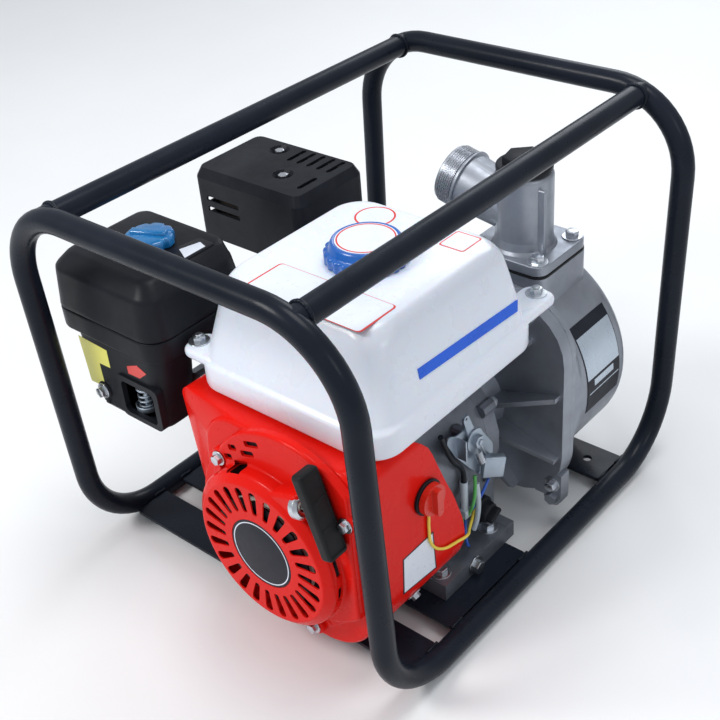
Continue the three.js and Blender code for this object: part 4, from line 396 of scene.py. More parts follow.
def lead(name, points, radius, sides=12, resolution=10):
    """A soft lead through points, as a round tube."""
    free()
    bpy.ops.curve.primitive_bezier_curve_add(location=(0, 0, 0))
    piece = named(name)
    curve = piece.data
    curve.splines.clear()
    spline = curve.splines.new('BEZIER')
    spline.bezier_points.add(len(points) - 1)
    for knot, point in zip(spline.bezier_points, points):
        knot.co = Vector(point) * MM
        knot.handle_left_type = 'AUTO'
        knot.handle_right_type = 'AUTO'
    curve.dimensions = '3D'
    curve.resolution_u = resolution
    curve.bevel_depth = radius * MM
    curve.bevel_resolution = sides // 4
    curve.use_fill_caps = True
    only(piece)
    bpy.ops.object.convert(target='MESH')
    return smooth(closed(bpy.context.object), 60)


def coil(name, wire_radius, coil_radius, pitch, turns, at, direction, steps=20):
    """A spring: a small circle screwed up round an axis."""
    free()
    bpy.ops.mesh.primitive_circle_add(vertices=10, radius=wire_radius * MM,
                                      location=(coil_radius * MM, 0, 0), rotation=(pi / 2, 0, 0))
    piece = named(name)
    settle(piece)
    modify(piece, 'SCREW', screw_offset=pitch * MM, iterations=turns, steps=steps, render_steps=steps)
    edit(piece)
    bpy.ops.mesh.fill_holes(sides=0)
    closed(piece)
    return smooth(aim(piece, at, direction), 60)


def hexagon(name, across, height, at, direction, roll=0, edge=0.7):
    """A hexagon head with a chamfered top."""
    free()
    bpy.ops.mesh.primitive_cylinder_add(vertices=6, radius=across / 2 * MM, depth=height * MM,
                                        location=(0, 0, height / 2 * MM))
    piece = named(name)
    settle(piece)
    bevel(piece, edge, 2, lambda e: middle(e).z > height - 0.01)
    return smooth(aim(piece, at, direction, roll), 25)


def bolts(name, places, across=10, height=4, washer=0.0, shank=0):
    """Hexagon bolts with a washer face, one for each (point, direction)."""
    made = []
    seat = 1.2
    reach = across * 0.62 + washer
    for i, (at, direction) in enumerate(places):
        at = Vector(at)
        direction = Vector(direction).normalized()
        made.append(turned(name, [(0, 0), (reach, 0, 0.3), (reach, seat, 0.4), (0, seat)],
                           at, direction, 24))
        made.append(hexagon(name, across, height, at + direction * (seat - 0.1), direction,
                            roll=17 * i))
        if shank:
            made.append(rod(name, across * 0.27, at + direction * height,
                            at + direction * (height + shank), 0.5, 16))
    return smooth(gather(name, made), 30)


def refined(node, name, edge=0.8, angle=30, segments=2):
    """A copy of a CAD solid with its flat faces made whole and its edges rounded."""
    piece = bpy.data.objects.new(name, frame["nodes"][node].data.copy())
    bpy.context.scene.collection.objects.link(piece)
    closed(piece)
    edit(piece)
    bpy.ops.mesh.dissolve_limited(angle_limit=radians(1.5))
    leave_edit()
    return soften(piece, edge, angle, segments)


# Materials
def node(tree, kind, **sockets):
    made = tree.nodes.new(kind)
    for name, value in sockets.items():
        made.inputs[name.replace('_', ' ')].default_value = value
    return made


def surface(name, colour, shade, metal=0.0, rough=(0.3, 0.4), patch=14.0, grain=900.0, depth=0.00002,
            cells=False, stretch=(1, 1, 1), **extra):
    """A finish with two shades in broad patches, and a fine grain in its roughness and relief."""
    made = bpy.data.materials.new(name)
    made.use_nodes = True
    tree = made.node_tree
    shader = tree.nodes["Principled BSDF"]
    shader.inputs["Metallic"].default_value = metal
    for socket, value in extra.items():
        shader.inputs[socket.replace('_', ' ')].default_value = value

    def link(giver, output, taker, entry):
        tree.links.new(giver.outputs[output], taker.inputs[entry])
    place = tree.nodes.new("ShaderNodeTexCoord")
    stretched = node(tree, "ShaderNodeMapping", Scale=stretch)
    link(place, "Object", stretched, "Vector")
    broad = node(tree, "ShaderNodeTexNoise", Scale=patch, Detail=5.0, Roughness=0.6)
    link(stretched, "Vector", broad, "Vector")
    mix = tree.nodes.new("ShaderNodeMix")
    mix.data_type = 'RGBA'
    mix.inputs[6].default_value = (*colour, 1)
    mix.inputs[7].default_value = (*shade, 1)
    spread = node(tree, "ShaderNodeMapRange", From_Min=0.35, From_Max=0.65)
    link(broad, "Fac", spread, "Value")
    link(spread, "Result", mix, 0)
    link(mix, 2, shader, "Base Color")
    if cells:
        fine = node(tree, "ShaderNodeTexVoronoi", Scale=grain)
        fine.feature = 'SMOOTH_F1'
    else:
        fine = node(tree, "ShaderNodeTexNoise", Scale=grain, Detail=3.0)
    link(stretched, "Vector", fine, "Vector")
    gloss = node(tree, "ShaderNodeTexNoise", Scale=patch * 5, Detail=6.0)
    link(stretched, "Vector", gloss, "Vector")
    span = node(tree, "ShaderNodeMapRange", From_Min=0.3, From_Max=0.7, To_Min=rough[0],
                To_Max=rough[1])
    link(gloss, "Fac", span, "Value")
    link(span, "Result", shader, "Roughness")
    bump = node(tree, "ShaderNodeBump", Strength=0.6, Distance=depth)
    link(fine, "Distance" if cells else "Fac", bump, "Height")
    link(bump, "Normal", shader, "Normal")
    return made


LOOKS = {}


def look(name, slot, *finish, **extra):
    """Names a finish, with the record's material slot that it belongs to."""
    LOOKS[name] = (surface(name, *finish, **extra), slot)


look("powder_black", "black_paint", (0.008, 0.011, 0.018), (0.013, 0.017, 0.027), 0.0, (0.24, 0.36),
     9, 1400, 0.00002, Specular_IOR_Level=0.1, Coat_Weight=0.05, Coat_Roughness=0.1)
look("guard_black", "black_paint", (0.009, 0.01, 0.015), (0.016, 0.018, 0.024), 0.0, (0.34, 0.46),
     20, 1500, 0.00003, Specular_IOR_Level=0.12)
look("gloss_red", "red_paint", (0.78, 0.011, 0.006), (0.72, 0.009, 0.005), 0.0, (0.24, 0.32), 6,
     500, 0.00001, Specular_IOR_Level=0.08, Coat_Weight=0.08, Coat_Roughness=0.03)
look("cast_aluminium", "cast_aluminium", (0.36, 0.385, 0.43), (0.28, 0.3, 0.345), 0.8, (0.36, 0.5),
     18, 1100, 0.00008, True)
look("cast_engine", "cast_aluminium", (0.24, 0.26, 0.3), (0.16, 0.175, 0.205), 0.65, (0.38, 0.54),
     22, 1000, 0.00008, True)
look("machined_alloy", "cast_aluminium", (0.56, 0.58, 0.62), (0.46, 0.48, 0.52), 0.9, (0.22, 0.32),
     30, 250, 0.0000008, stretch=(1, 1, 2))
look("grey_iron", "dark_casting", (0.13, 0.14, 0.15), (0.08, 0.085, 0.09), 0.8, (0.4, 0.6), 30,
     1000, 0.00008, True)
look("bright_zinc", "zinc_steel", (0.62, 0.65, 0.7), (0.52, 0.55, 0.58), 1.0, (0.26, 0.34), 40, 400,
     0.000001)
look("plated_sheet", "zinc_steel", (0.44, 0.5, 0.57), (0.36, 0.42, 0.49), 0.85, (0.34, 0.44), 25,
     300, 0.000001)
look("heat_steel", "dark_steel", (0.035, 0.033, 0.036), (0.06, 0.045, 0.035), 0.7, (0.4, 0.6), 25,
     900, 0.00004)
look("grained_black", "black_plastic", (0.009, 0.01, 0.014), (0.014, 0.016, 0.021), 0.0,
     (0.34, 0.45), 14, 1300, 0.00004, True, Specular_IOR_Level=0.14)
look("tank_white", "white_plastic", (0.8, 0.84, 0.93), (0.77, 0.815, 0.915), 0.0, (0.24, 0.34), 7,
     600, 0.00002, Subsurface_Weight=0.25, Subsurface_Scale=0.01, Coat_Weight=0.3,
     Coat_Roughness=0.15)
look("glazed_white", "white_ceramic", (0.82, 0.81, 0.78), (0.75, 0.74, 0.7), 0.0, (0.12, 0.2), 40,
     800, 0.00001)
look("clear_sleeve", "white_plastic", (0.7, 0.78, 0.86), (0.6, 0.7, 0.8), 0.0, (0.16, 0.26), 60,
     900, 0.000004, Transmission_Weight=0.35)
look("cap_blue", "blue_plastic", (0.008, 0.13, 0.5), (0.005, 0.09, 0.4), 0.0, (0.22, 0.32), 20, 900,
     0.00002, Coat_Weight=0.4, Coat_Roughness=0.1)
look("knob_blue", "blue_plastic", (0.01, 0.2, 0.5), (0.008, 0.14, 0.42), 0.0, (0.2, 0.32), 30, 900,
     0.00003, Coat_Weight=0.4, Coat_Roughness=0.1)
look("knob_red", "red_plastic", (0.72, 0.03, 0.012), (0.6, 0.02, 0.01), 0.0, (0.25, 0.36), 25, 900,
     0.00003)
look("moulded_rubber", "black_rubber", (0.008, 0.009, 0.01), (0.014, 0.014, 0.016), 0.0,
     (0.42, 0.55), 25, 1200, 0.00004, True, Specular_IOR_Level=0.2)
look("yellow_sheath", "yellow_insulation", (0.86, 0.66, 0.08), (0.82, 0.6, 0.06), 0.0, (0.3, 0.4),
     60, 900, 0.00001)
look("green_sheath", "yellow_insulation", (0.1, 0.42, 0.1), (0.06, 0.32, 0.06), 0.0, (0.3, 0.4), 60,
     900, 0.00001)
look("blue_sheath", "yellow_insulation", (0.02, 0.1, 0.5), (0.01, 0.07, 0.4), 0.0, (0.3, 0.4), 60,
     900, 0.00001)
look("rope", "rope_fibre", (0.62, 0.6, 0.54), (0.45, 0.43, 0.38), 0.0, (0.8, 0.95), 400, 900,
     0.0003, True, stretch=(1, 1, 2.5))
look("dull_bronze", "bronze_grey", (0.36, 0.3, 0.2), (0.26, 0.22, 0.15), 0.9, (0.35, 0.5), 40, 900,
     0.00004)
look("badge_black", "black_plastic", (0.012, 0.014, 0.022), (0.018, 0.02, 0.03), 0.0, (0.34, 0.42),
     30, 900, 0.00001, Specular_IOR_Level=0.15)
look("film_white", "white_plastic", (0.78, 0.82, 0.9), (0.72, 0.77, 0.87), 0.0, (0.25, 0.35), 30,
     600, 0.00001)
look("film_blue", "blue_plastic", (0.005, 0.12, 0.75), (0.005, 0.1, 0.66), 0.0, (0.25, 0.35), 20,
     600, 0.00001)
look("film_red", "red_plastic", (0.72, 0.05, 0.04), (0.62, 0.04, 0.03), 0.0, (0.25, 0.35), 20, 600,
     0.00001)
look("film_yellow", "yellow_insulation", (0.86, 0.82, 0.2), (0.8, 0.76, 0.16), 0.0, (0.3, 0.4), 20,
     600, 0.00001)
look("plate_silver", "cast_aluminium", (0.53, 0.6, 0.68), (0.48, 0.55, 0.63), 0.6, (0.26, 0.3), 10,
     200, 0.0000006, stretch=(1, 3, 1))
look("filter_foam", "black_rubber", (0.05, 0.04, 0.03), (0.09, 0.07, 0.05), 0.0, (0.8, 0.95), 60,
     900, 0.0004, True)


def paint(piece, finish):
    """Gives a finished piece its material, and says which slot that belongs to."""
    material, slot = LOOKS[finish]
    settle(piece)
    piece.data.materials.clear()
    piece.data.materials.append(material)
    return slot


def wear(piece, finish, *nodes, body="frame"):
    """Gives a finished piece its material and its body, and hides the CAD nodes that it stands for."""
    slot = paint(piece, finish)
    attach(piece, body)
    if nodes:
        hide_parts(*nodes)


def fasten(name, places, *sizes):
    wear(bolts(name, places, *sizes), "bright_zinc")


# CAD nodes that keep their own shape take a finish for their material slot
SLOT_LOOKS = {
    "black_paint": "powder_black", "red_paint": "gloss_red", "cast_aluminium": "cast_engine",
    "dark_casting": "grey_iron", "zinc_steel": "bright_zinc", "dark_steel": "heat_steel",
    "black_plastic": "grained_black", "white_plastic": "tank_white", "white_ceramic": "glazed_white",
    "blue_plastic": "cap_blue", "red_plastic": "knob_red", "black_rubber": "moulded_rubber",
    "yellow_insulation": "yellow_sheath", "rope_fibre": "rope", "bronze_grey": "dull_bronze",
}
for part in frame["record"]["subparts"]:
    carried = frame["nodes"][part["node"]]
    for holder in carried.material_slots:
        holder.material = LOOKS[SLOT_LOOKS[part["material_slot"]]][0]


# Frame: two bent hoops, two top rails and three cross plates
LEG = 191.5
RAIL_X = 141
RAIL_Z = 389
TUBE = 11       # radius of the frame's tube
BEND = 78


def build_frame():
    for name, end in (("hoop_starter_end", -1), ("hoop_pump_end", 1)):
        hoop = bent_tube(name + "_tube", TUBE, [
            (-LEG, 0, TUBE), (-LEG, end * 228, TUBE), (-LEG, end * 241, 394),
            (LEG, end * 241, 394), (LEG, end * 228, TUBE), (LEG, 0, TUBE)], BEND, sides=48)
        wear(hoop, "powder_black", name)
    for name, side in (("top_rail_left", -1), ("top_rail_right", 1)):
        ends = [(side * RAIL_X, end * 240.5, RAIL_Z) for end in (-1, 1)]
        rail = bent_tube(name + "_tube", TUBE, ends, BEND, 48)
        wear(rail, "powder_black", name)
        for end in (-1, 1):
            wear(weld(name, (side * RAIL_X, end * 229.4, RAIL_Z), Y * end), "powder_black")


def weld(name, at, direction, radius=11.2, thick=1.9):
    """A weld bead round a tube: a ring that wavers a little."""
    free()
    bpy.ops.mesh.primitive_torus_add(major_radius=radius * MM, minor_radius=thick * MM,
                                     major_segments=72, minor_segments=10)
    bead = named(name + "_weld")
    for corner in bead.data.vertices:
        around = atan2(corner.co.y, corner.co.x)
        corner.co.z += (0.35 * sin(23 * around) + 1.6 * abs(cos(around)) - 0.8) * MM
    return smooth(aim(bead, at, direction), 60)


def build_plates():
    half = 180.2
    for name, middle_y, width, holes in (
            ("cross_plate_starter_end", -170, 40, []),
            ("engine_plate", -67, 120, []),
            ("cross_plate_pump_end", 150, 46, [(-153, 150), (153, 150)])):
        outline = oblong(-half, half, middle_y - width / 2, middle_y + width / 2, 3)
        plate = prism(name + "_steel", outline, 'Z', 12, 16)
        if holes:
            drills = [rod("drill", 4.5, (x, y, 0), (x, y, 30), 0, 32) for x, y in holes]
            cut(plate, gather("drill", drills))
        soften(plate, 0.6, 40)
        wear(plate, "powder_black", name)
        seams = []
        for side in (-1, 1):
            for edge in (-1, 1):
                y = middle_y + edge * (width / 2 - 7)
                seams.append(lead(name + "_weld", [
                    (side * 181.5, y - 7, 16.8), (side * 181.9, y - 2, 17.4),
                    (side * 181.6, y + 3, 16.9), (side * 181.9, y + 7, 17.2)], 1.7))
        wear(gather(name + "_weld", seams), "powder_black")
    foot = [(x, y) for x in (-20, 142) for y in (-16, -91.5)]
    fasten("engine_foot_bolts", [((x, y, 34.3), Z) for x, y in foot], 14, 6, 1.5)
    fasten("engine_foot_nuts", [((x, y, 12), -Z) for x, y in foot], 14, 6, 1.5, 2.5)


build_frame()
build_plates()


# Red covers: the fan cover and the recoil starter
ROPE_WAY = swing(ROPE_LEAN, 'Y')
rope_turn = shift(CRANK) @ ROPE_WAY
ROPE_LINE = (-225, 53.5)        # y and z of the rope before it is leant


def on_crank(piece):
    return place(piece, shift(CRANK))


def disc(name, profile, at, direction, finish, body="frame"):
    """A flat round piece that isn't in the CAD."""
    wear(smooth(turned(name, profile, at, direction, 96)), finish, body=body)


# Rear edge of the fan cover's right-hand wall: y, and z above the crank
REAR_CURVE = [Vector(p) for p in (
    (-150, 112), (-140, 105), (-130, 97), (-122, 88), (-116.5, 77), (-112, 65), (-107, 53),
    (-102.5, 42), (-98, 31), (-93, 20.5), (-88.5, 9), (-84.5, -3), (-80.5, -14), (-77.5, -26),
    (-76, -38), (-75.7, -50), (-76.5, -62), (-78.5, -74), (-81, -90),
    (-50, -90), (-50, 130), (-150, 130))]
EARS = [(-56, 68), (88, 66), (36, -80)]     # screws of the recoil housing, x and z from the crank
SEAT, FACE = -208.3, -234       # y of the recoil housing's two ends


def fan_outline(inset, left, left_radius, right_radius):
    low, right, top = -99 + inset, 99 - inset, 107.7 - inset
    return rounded([(low, low, (99 - inset) * 0.98), (right, low, 62 - inset),
                    (right, top, right_radius - inset), (-left + inset, top, left_radius - inset)], 14)


def build_fan_cover():
    rings = []
    for k in range(6):
        angle = radians(90 * k / 5)
        rings.append((fan_outline(4 * (1 - sin(angle)), 78, 40, 25), -208 + 4 * (1 - cos(angle))))
    front, back = fan_outline(0, 78, 40, 25), fan_outline(0, 122, 12, 12)
    for share in (0.25, 0.5, 0.75, 1):
        ease = share * share * (3 - 2 * share)
        rings.append(([a.lerp(b, ease) for a, b in zip(front, back)], -204 + 10 * share))
    rings += [(back, -140), (back, -75.5)]
    shell = loft("fan_cover_steel", [at_height(outline, y, 'Y') for outline, y in rings])
    edit(shell, 'FACE')
    pick(shell, 'FACE', lambda f: f.normal.y > 0.9 and f.calc_center_median().y > -0.08)
    bpy.ops.mesh.delete(type='FACE')
    leave_edit()
    modify(shell, 'SOLIDIFY', thickness=2.2 * MM, offset=-1)
    cut(shell, rod("inlet", 74, (0, -230, 0), (0, -195, 0), 0, 64),
        box("cylinder_side", (-200, -108, -200), (-29.7, 20, 200)),
        box("foot_side", (-200, -113, -200), (200, 20, -75)),
        box("rear_side", (-200, -86, -200), (60, 20, 200)),
        prism("rear_curve", REAR_CURVE, 'X', 50, 120))
    on_crank(shell)
    soften(shell, 0.6, 40)
    wear(shell, "gloss_red", "fan_cover")


def build_recoil():
    seat, face = SEAT, FACE
    bell = lathe("recoil_housing_moulding", [
        (0, 25.7), (71, 25.7, 3.5), (79, 19.2, 5), (79, 3, 0), (92, 3, 1.2), (92, 0), (77.2, 0),
        (77.2, 18.6, 4), (69.6, 24.2, 2), (0, 24.2)], 128)
    aim(bell, (0, seat, 0), -Y)
    outline = [Vector((min(p[0], 92), p[1])) for p in ring(24, 27, 95, 120)]
    inner = [Vector((min(p[0], 86), p[1])) for p in ring(24, 27, 89, 120)]
    shoulder = prism("shoulder", outline, 'Y', seat - 8, seat)
    bevel(shoulder, 3, 5, lambda e: middle(e).y < seat - 7.9)
    cut(shoulder, prism("hollow", inner, 'Y', seat - 5, seat + 5),
        rod("hollow", 78, (0, seat - 20, 0), (0, seat + 9, 0), 0, 128))
    fuse(bell, shoulder)

    def crease(edge):
        at = middle(edge)
        reach = sqrt(at.x ** 2 + at.z ** 2)
        return abs(reach - 79) < 0.4 and (abs(at.y - seat + 8) < 0.1 or abs(at.y - seat + 3) < 0.1)
    bevel(bell, 2.6, 4, crease)
    beak = box("beak", (38, face + 3, 40.5), (72, seat - 0.3, 66.5))
    bevel(beak, 5, 5, lambda e: middle(e).y < face + 4 or abs(middle(e).x - 72) < 0.1)
    place(beak, ROPE_WAY)
    cut(beak, rod("hollow", 75.5, (0, face + 3.2, 0), (0, seat + 9, 0), 0, 128))
    fuse(bell, beak)
    fuse(bell, *[rod("ear", 9.5, (x, seat, z), (x, seat - 8, z), 2, 40) for x, z in EARS])
    radial = rounded([(-2.5, 43, 2.3), (2.5, 43, 2.3), (4.6, 67.8, 4), (-4.6, 67.8, 4)])
    slots = turned_copies(prism("slot", radial, 'Y', face - 5, face + 8), 24, Y, (0, 0, 0))
    short = []
    for x, z, half in ((-12.1, 102.1, 8.7), (-18.6, 89.3, 8.2), (-27.6, 74.5, 8.7),
                       (-36.9, 87.9, 5), (-43.7, 75.1, 5), (-53.1, 60.9, 5)):
        outline = oblong(x - half, x + half, z - 3, z + 3, 1.6)
        slot = prism("slot", outline, 'Y', seat - 20, seat - 4.6)
        short.append(copied_about(slot, ROPE_LEAN, (x, 0, z), Y))
    side = []
    for angle in (12, -9):
        for low in (-223.5, -214.5):
            slot = prism("slot", oblong(low, low + 5, -8.5, 8.5, 1.5), 'X', 70, 86)
            side.append(copied_about(slot, -angle, (0, 0, 0), Y))
    rope_way = place(rod("rope_way", 5.5, (0, *ROPE_LINE), (90, *ROPE_LINE), 0), ROPE_WAY)
    badge_seat = rod("badge_seat", 35, (0, face - 5, 0), (0, face + 1, 0), 0, 96)
    cut(bell, gather("slots", slots), gather("slots", short), gather("slots", side), rope_way,
        badge_seat)
    on_crank(bell)
    soften(bell, 0.7, 32)
    wear(bell, "gloss_red", "recoil_housing")

    # Painted shade: a dark disc behind the radial slots, over the fan cover's inlet, so that what shows
    # through the slots is dark
    disc("recoil_slot_shade_disc", collar(0, 1.2, 39, 73.4, 0.3, 0.3), CRANK + Y * -206.4, -Y, "guard_black")
    # Painted shade: a dark ring inside the hollow shoulder, so that its short slots look dark
    shade = prism("shoulder_slot_shade_ring", [Vector((p[0] * 0.995, p[1] * 0.995)) for p in inner], 'Y',
                  seat - 4.2, seat - 3.2)
    cut(shade, rod("hollow", 79.5, (0, seat - 20, 0), (0, seat + 9, 0), 0, 96))
    wear(on_crank(shade), "guard_black")
    disc("recoil_badge", collar(0, 0.8, 0, 34.6, 0, 0.3), CRANK + Y * (face + 1), -Y, "badge_black")
    disc("recoil_badge_ring", collar(0.7, 1, 31.4, 32.4), CRANK + Y * (face + 1), -Y, "film_white")
    fasten("recoil_screws", [((CRANK.x + x, seat - 8.2, CRANK.z + z), -Y) for x, z in EARS], 10, 5, 1)

    eyelet = lathe("rope_eyelet_ring", [(4, 0, 1), (11, 0, 0.5), (11, 5.5, 0.5), (8, 8.6, 1.5),
                                        (4, 8, 1.5)], 48)
    place(eyelet, rope_turn @ shift((64.3, *ROPE_LINE)) @ swing(90, 'Y'))
    wear(smooth(eyelet), "bright_zinc", "rope_eyelet")


def build_starter():
    grip = box("starter_grip_moulding", (88, -240, 13), (101, -218, 94), 4, 5)
    panels = [box("panel", (99.9, -237, low), (103, -221, low + 22), 0.8) for low in (17.5, 42.5, 67.5)]
    cut(grip, *panels, rod("socket", 3.4, (80, *ROPE_LINE), (97.5, *ROPE_LINE), 0))
    soften(place(grip, rope_turn), 0.5, 40)
    wear(grip, "moulded_rubber", "starter_grip", body="grip")
    washer = turned("starter_grip_washer", collar(0, 1.2, 2.8, 6, 0.4, 0.4), (0, 0, 0), X, 32)
    place(washer, rope_turn @ shift((86.7, *ROPE_LINE)))
    wear(smooth(washer), "bright_zinc", body="grip")
    strands = []
    for k in range(3):
        points = [(54 + i * 1.5, *polar(*ROPE_LINE, 1.15, 2 * pi * (i / 7 + k / 3))) for i in range(29)]
        strands.append(lead("strand", points, 1.3, 8, 3))
    start = gather("starter_rope_strands", strands)
    start.matrix_world = rope_turn
    slot = paint(start, "rope")
    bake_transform(start)
    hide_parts("starter_rope")
    turns = []
    for radius, y in ((49.8, -227.2), (49.8, -222.8), (47.2, -225)):
        free()
        bpy.ops.mesh.primitive_torus_add(
            major_radius=radius * MM, minor_radius=2.2 * MM, major_segments=96, minor_segments=10,
            location=(0, y * MM, 0), rotation=(pi / 2, 0, 0))
        turns.append(settle(bpy.context.object))
    wound = gather("wound_rope_turns", turns)
    wear(smooth(on_crank(wound), 60), "rope", "wound_rope", body="reel")
    reel = refined("recoil_reel", "recoil_reel_moulding", 0.4, 40)
    wear(reel, "grained_black", "recoil_reel", body="reel")


build_fan_cover()
build_recoil()
build_starter()


# Fuel tank with its cap, films and stripe
STRIPE_ENDS = [(-122.4, 277.9), (12.5, 272.4), (16.5, 281), (-121.4, 286.2)]


def tank_ring(share, inset, radius, height):
    """The tank's outline; share runs from 0 at the bottom to 1 at the top, where it is smaller."""
    return at_height(oblong(-48 + inset + 6 * share, 165 - inset - 22 * share,
                            -188 + inset + 30 * share, 38 - inset - 5 * share, radius, 12), height)


def build_tank():
    low, top = 230.3, 329.3
    rings = []
    for k in range(5):
        angle = radians(22.5 * k)
        rings.append(tank_ring(0, 7 * (1 - sin(angle)), 28 - 4 * (1 - sin(angle)),
                               low + 5 * (1 - cos(angle))))
    rings += [tank_ring(share, inset, radius, low + rise) for share, inset, radius, rise in (
        (0, 0, 28, 24), (0, 0.6, 28, 26), (0, 2.2, 27, 27.6), (0.01, 3.6, 26, 28.6),
        (0.03, 4.1, 25, 30.4), (0.3, 3.4, 25, 48), (0.58, 3.4, 25, 68))]
    for k in range(9):
        angle = radians(11.25 * k)
        rings.append(tank_ring(0.8 + 0.2 * sin(angle), 4 + 10 * (1 - cos(angle)), 25 + 3 * sin(angle),
                               top - 14 + 14 * sin(angle)))
    tank = loft("fuel_tank_moulding", rings)
    ears = []
    for x0, x1, y0, y1 in ((-66, -20, -184, -150), (127, 161, 10, 74)):
        ear = prism("ear", oblong(x0, x1, y0, y1, 12, 8), 'Z', 251.8, 260.8)
        bevel(ear, 3.6, 4, level)
        ears.append(ear)
    neck = turned("neck", [(19, -8), (25, -8), (25, 5, 1.5), (19, 5, 1)], (*FILLER, top), Z)
    fuse(tank, *ears)
    cut(tank, rod("mouth", 19, (*FILLER, top - 60), (*FILLER, top + 9), 0))
    fuse(tank, neck)
    wear(smooth(tank, 50), "tank_white", "fuel_tank")
    fasten("tank_nuts", [((-57, -167, 260.6), Z), ((144, 62, 260.6), Z)], 12, 5, 2.5, 3)

    def side(y, z, lift):
        return Vector((161 - 0.32 * (z - 260.3) + lift, y, z))
    stripe = [[side(y, z, lift) for y, z in STRIPE_ENDS] for lift in (-0.4, 0.5)]
    wear(loft("tank_stripe", stripe), "film_blue")
    films = [("tank_film_long", oblong(-2, 126, -156, -109, 4)),
             ("tank_film_small", oblong(91, 118, -11, 18, 3)), ("tank_film_round", ring(12, 0, 19, 48))]
    for name, outline in films:
        centre = sum(outline, Vector((0, 0))) / len(outline)
        inner = [p - (p - centre).normalized() * 1.9 for p in outline]
        wear(prism(name, inner, 'Z', top - 0.2, top + 0.18), "film_white")
        wear(prism(name + "_border", outline, 'Z', top - 0.2, top + 0.1), "film_red")


def build_cap():
    base, count = 329.7, 192

    def lobes(scale):
        angles = [2 * pi * i / count for i in range(count)]
        return [polar(*FILLER, scale * (37.4 - 0.8 * (1 + cos(24 * angle))), angle)
                for angle in angles]
    rings = [(lobes(scale), rise) for scale, rise in (
        (0.975, 0), (1, 1.2), (1, 9.5), (0.98, 10.8), (0.95, 11.4))]
    rings += [(ring(*FILLER, radius, count), rise) for radius, rise in (
        (33.6, 11.7), (32.6, 13), (31, 17.6), (30, 19), (28.8, 19.6), (27.6, 19.2))]
    cap = loft("fuel_cap_moulding", [at_height(outline, base + rise) for outline, rise in rings])
    cut(cap, rod("seat", 26, (*FILLER, base - 5), (*FILLER, base + 6), 0))
    wear(smooth(cap, 40), "cap_blue", "fuel_cap", body="fuel_cap")
    top = (*FILLER, base + 19.2)
    disc("fuel_cap_disc", collar(-0.3, 0.25, 0, 27, 0, 0.2), top, Z, "film_white", "fuel_cap")
    disc("fuel_cap_ring", collar(0.1, 0.4, 24.4, 25.8), top, Z, "film_red", "fuel_cap")


build_tank()
build_cap()


# Air cleaner
def cleaner_ring(height, inset=0, left=0, right=0, back=0, radius=22):
    return at_height(oblong(-214 + inset + left, -70 - inset - right, -208 + inset,
                            -84 - inset - back, radius, 9), height)


def build_cleaner_cover():
    cover = loft("air_cleaner_cover_moulding", [
        cleaner_ring(height, inset, 0, 0, back, radius) for height, inset, back, radius in (
            (268.6, 1.2, 0, 22), (269.4, 0.4, 0, 22), (270.6, 0, 0, 22), (274, 0.3, 0.4, 22),
            (305.5, 2.7, 4.6, 20), (308.4, 3.4, 4.8, 19), (310.8, 5.4, 4, 17), (319.4, 13.6, -3.4, 12),
            (321.4, 16.2, -4.8, 11), (322.3, 20, -5, 9))])
    outline = rounded([(-114, -150, 3), (-86, -150, 3), (-86, -108, 3), (-106, -108, 3)], 4)
    panel = prism("panel", outline, 'Z', 321, 323)
    bevel(panel, 0.7, 2, level)
    fuse(cover, panel)
    cut(cover, rod("stud_hole", 3.4, (*STUD, 260), (*STUD, 330), 0, 24))
    wear(smooth(cover, 30), "grained_black", "air_cleaner_cover", body="cleaner_cover")
    corners = [(-105, -134), (-99, -114), (-89, -117), (-89, -142)]
    film = prism("cleaner_film", corners, 'Z', 322.9, 323.12)
    wear(film, "film_white", body="cleaner_cover")


def build_cleaner_knob():
    def lobes(scale):
        angles = [2 * pi * i / 160 for i in range(160)]
        return [polar(*STUD, scale * (23 - 2.6 * max(0, cos(8 * angle)) ** 2), angle)
                for angle in angles]
    knob = loft("air_cleaner_knob_moulding", [at_height(lobes(scale), height) for scale, height in (
        (0.96, 322.7), (1, 323.7), (1, 330), (0.97, 331.6), (0.9, 332.6), (0.6, 333.2))])
    grip = box("grip", (-155, -144.5, 325), (-119, -135.5, 336.5), 2.6, 4)
    fuse(knob, copied_about(grip, 25, (*STUD, 0)))
    cut(knob, rod("stud_hole", 3.3, (*STUD, 315), (*STUD, 330), 0, 24))
    wear(smooth(knob, 40), "knob_blue", "air_cleaner_knob", body="cleaner_knob")


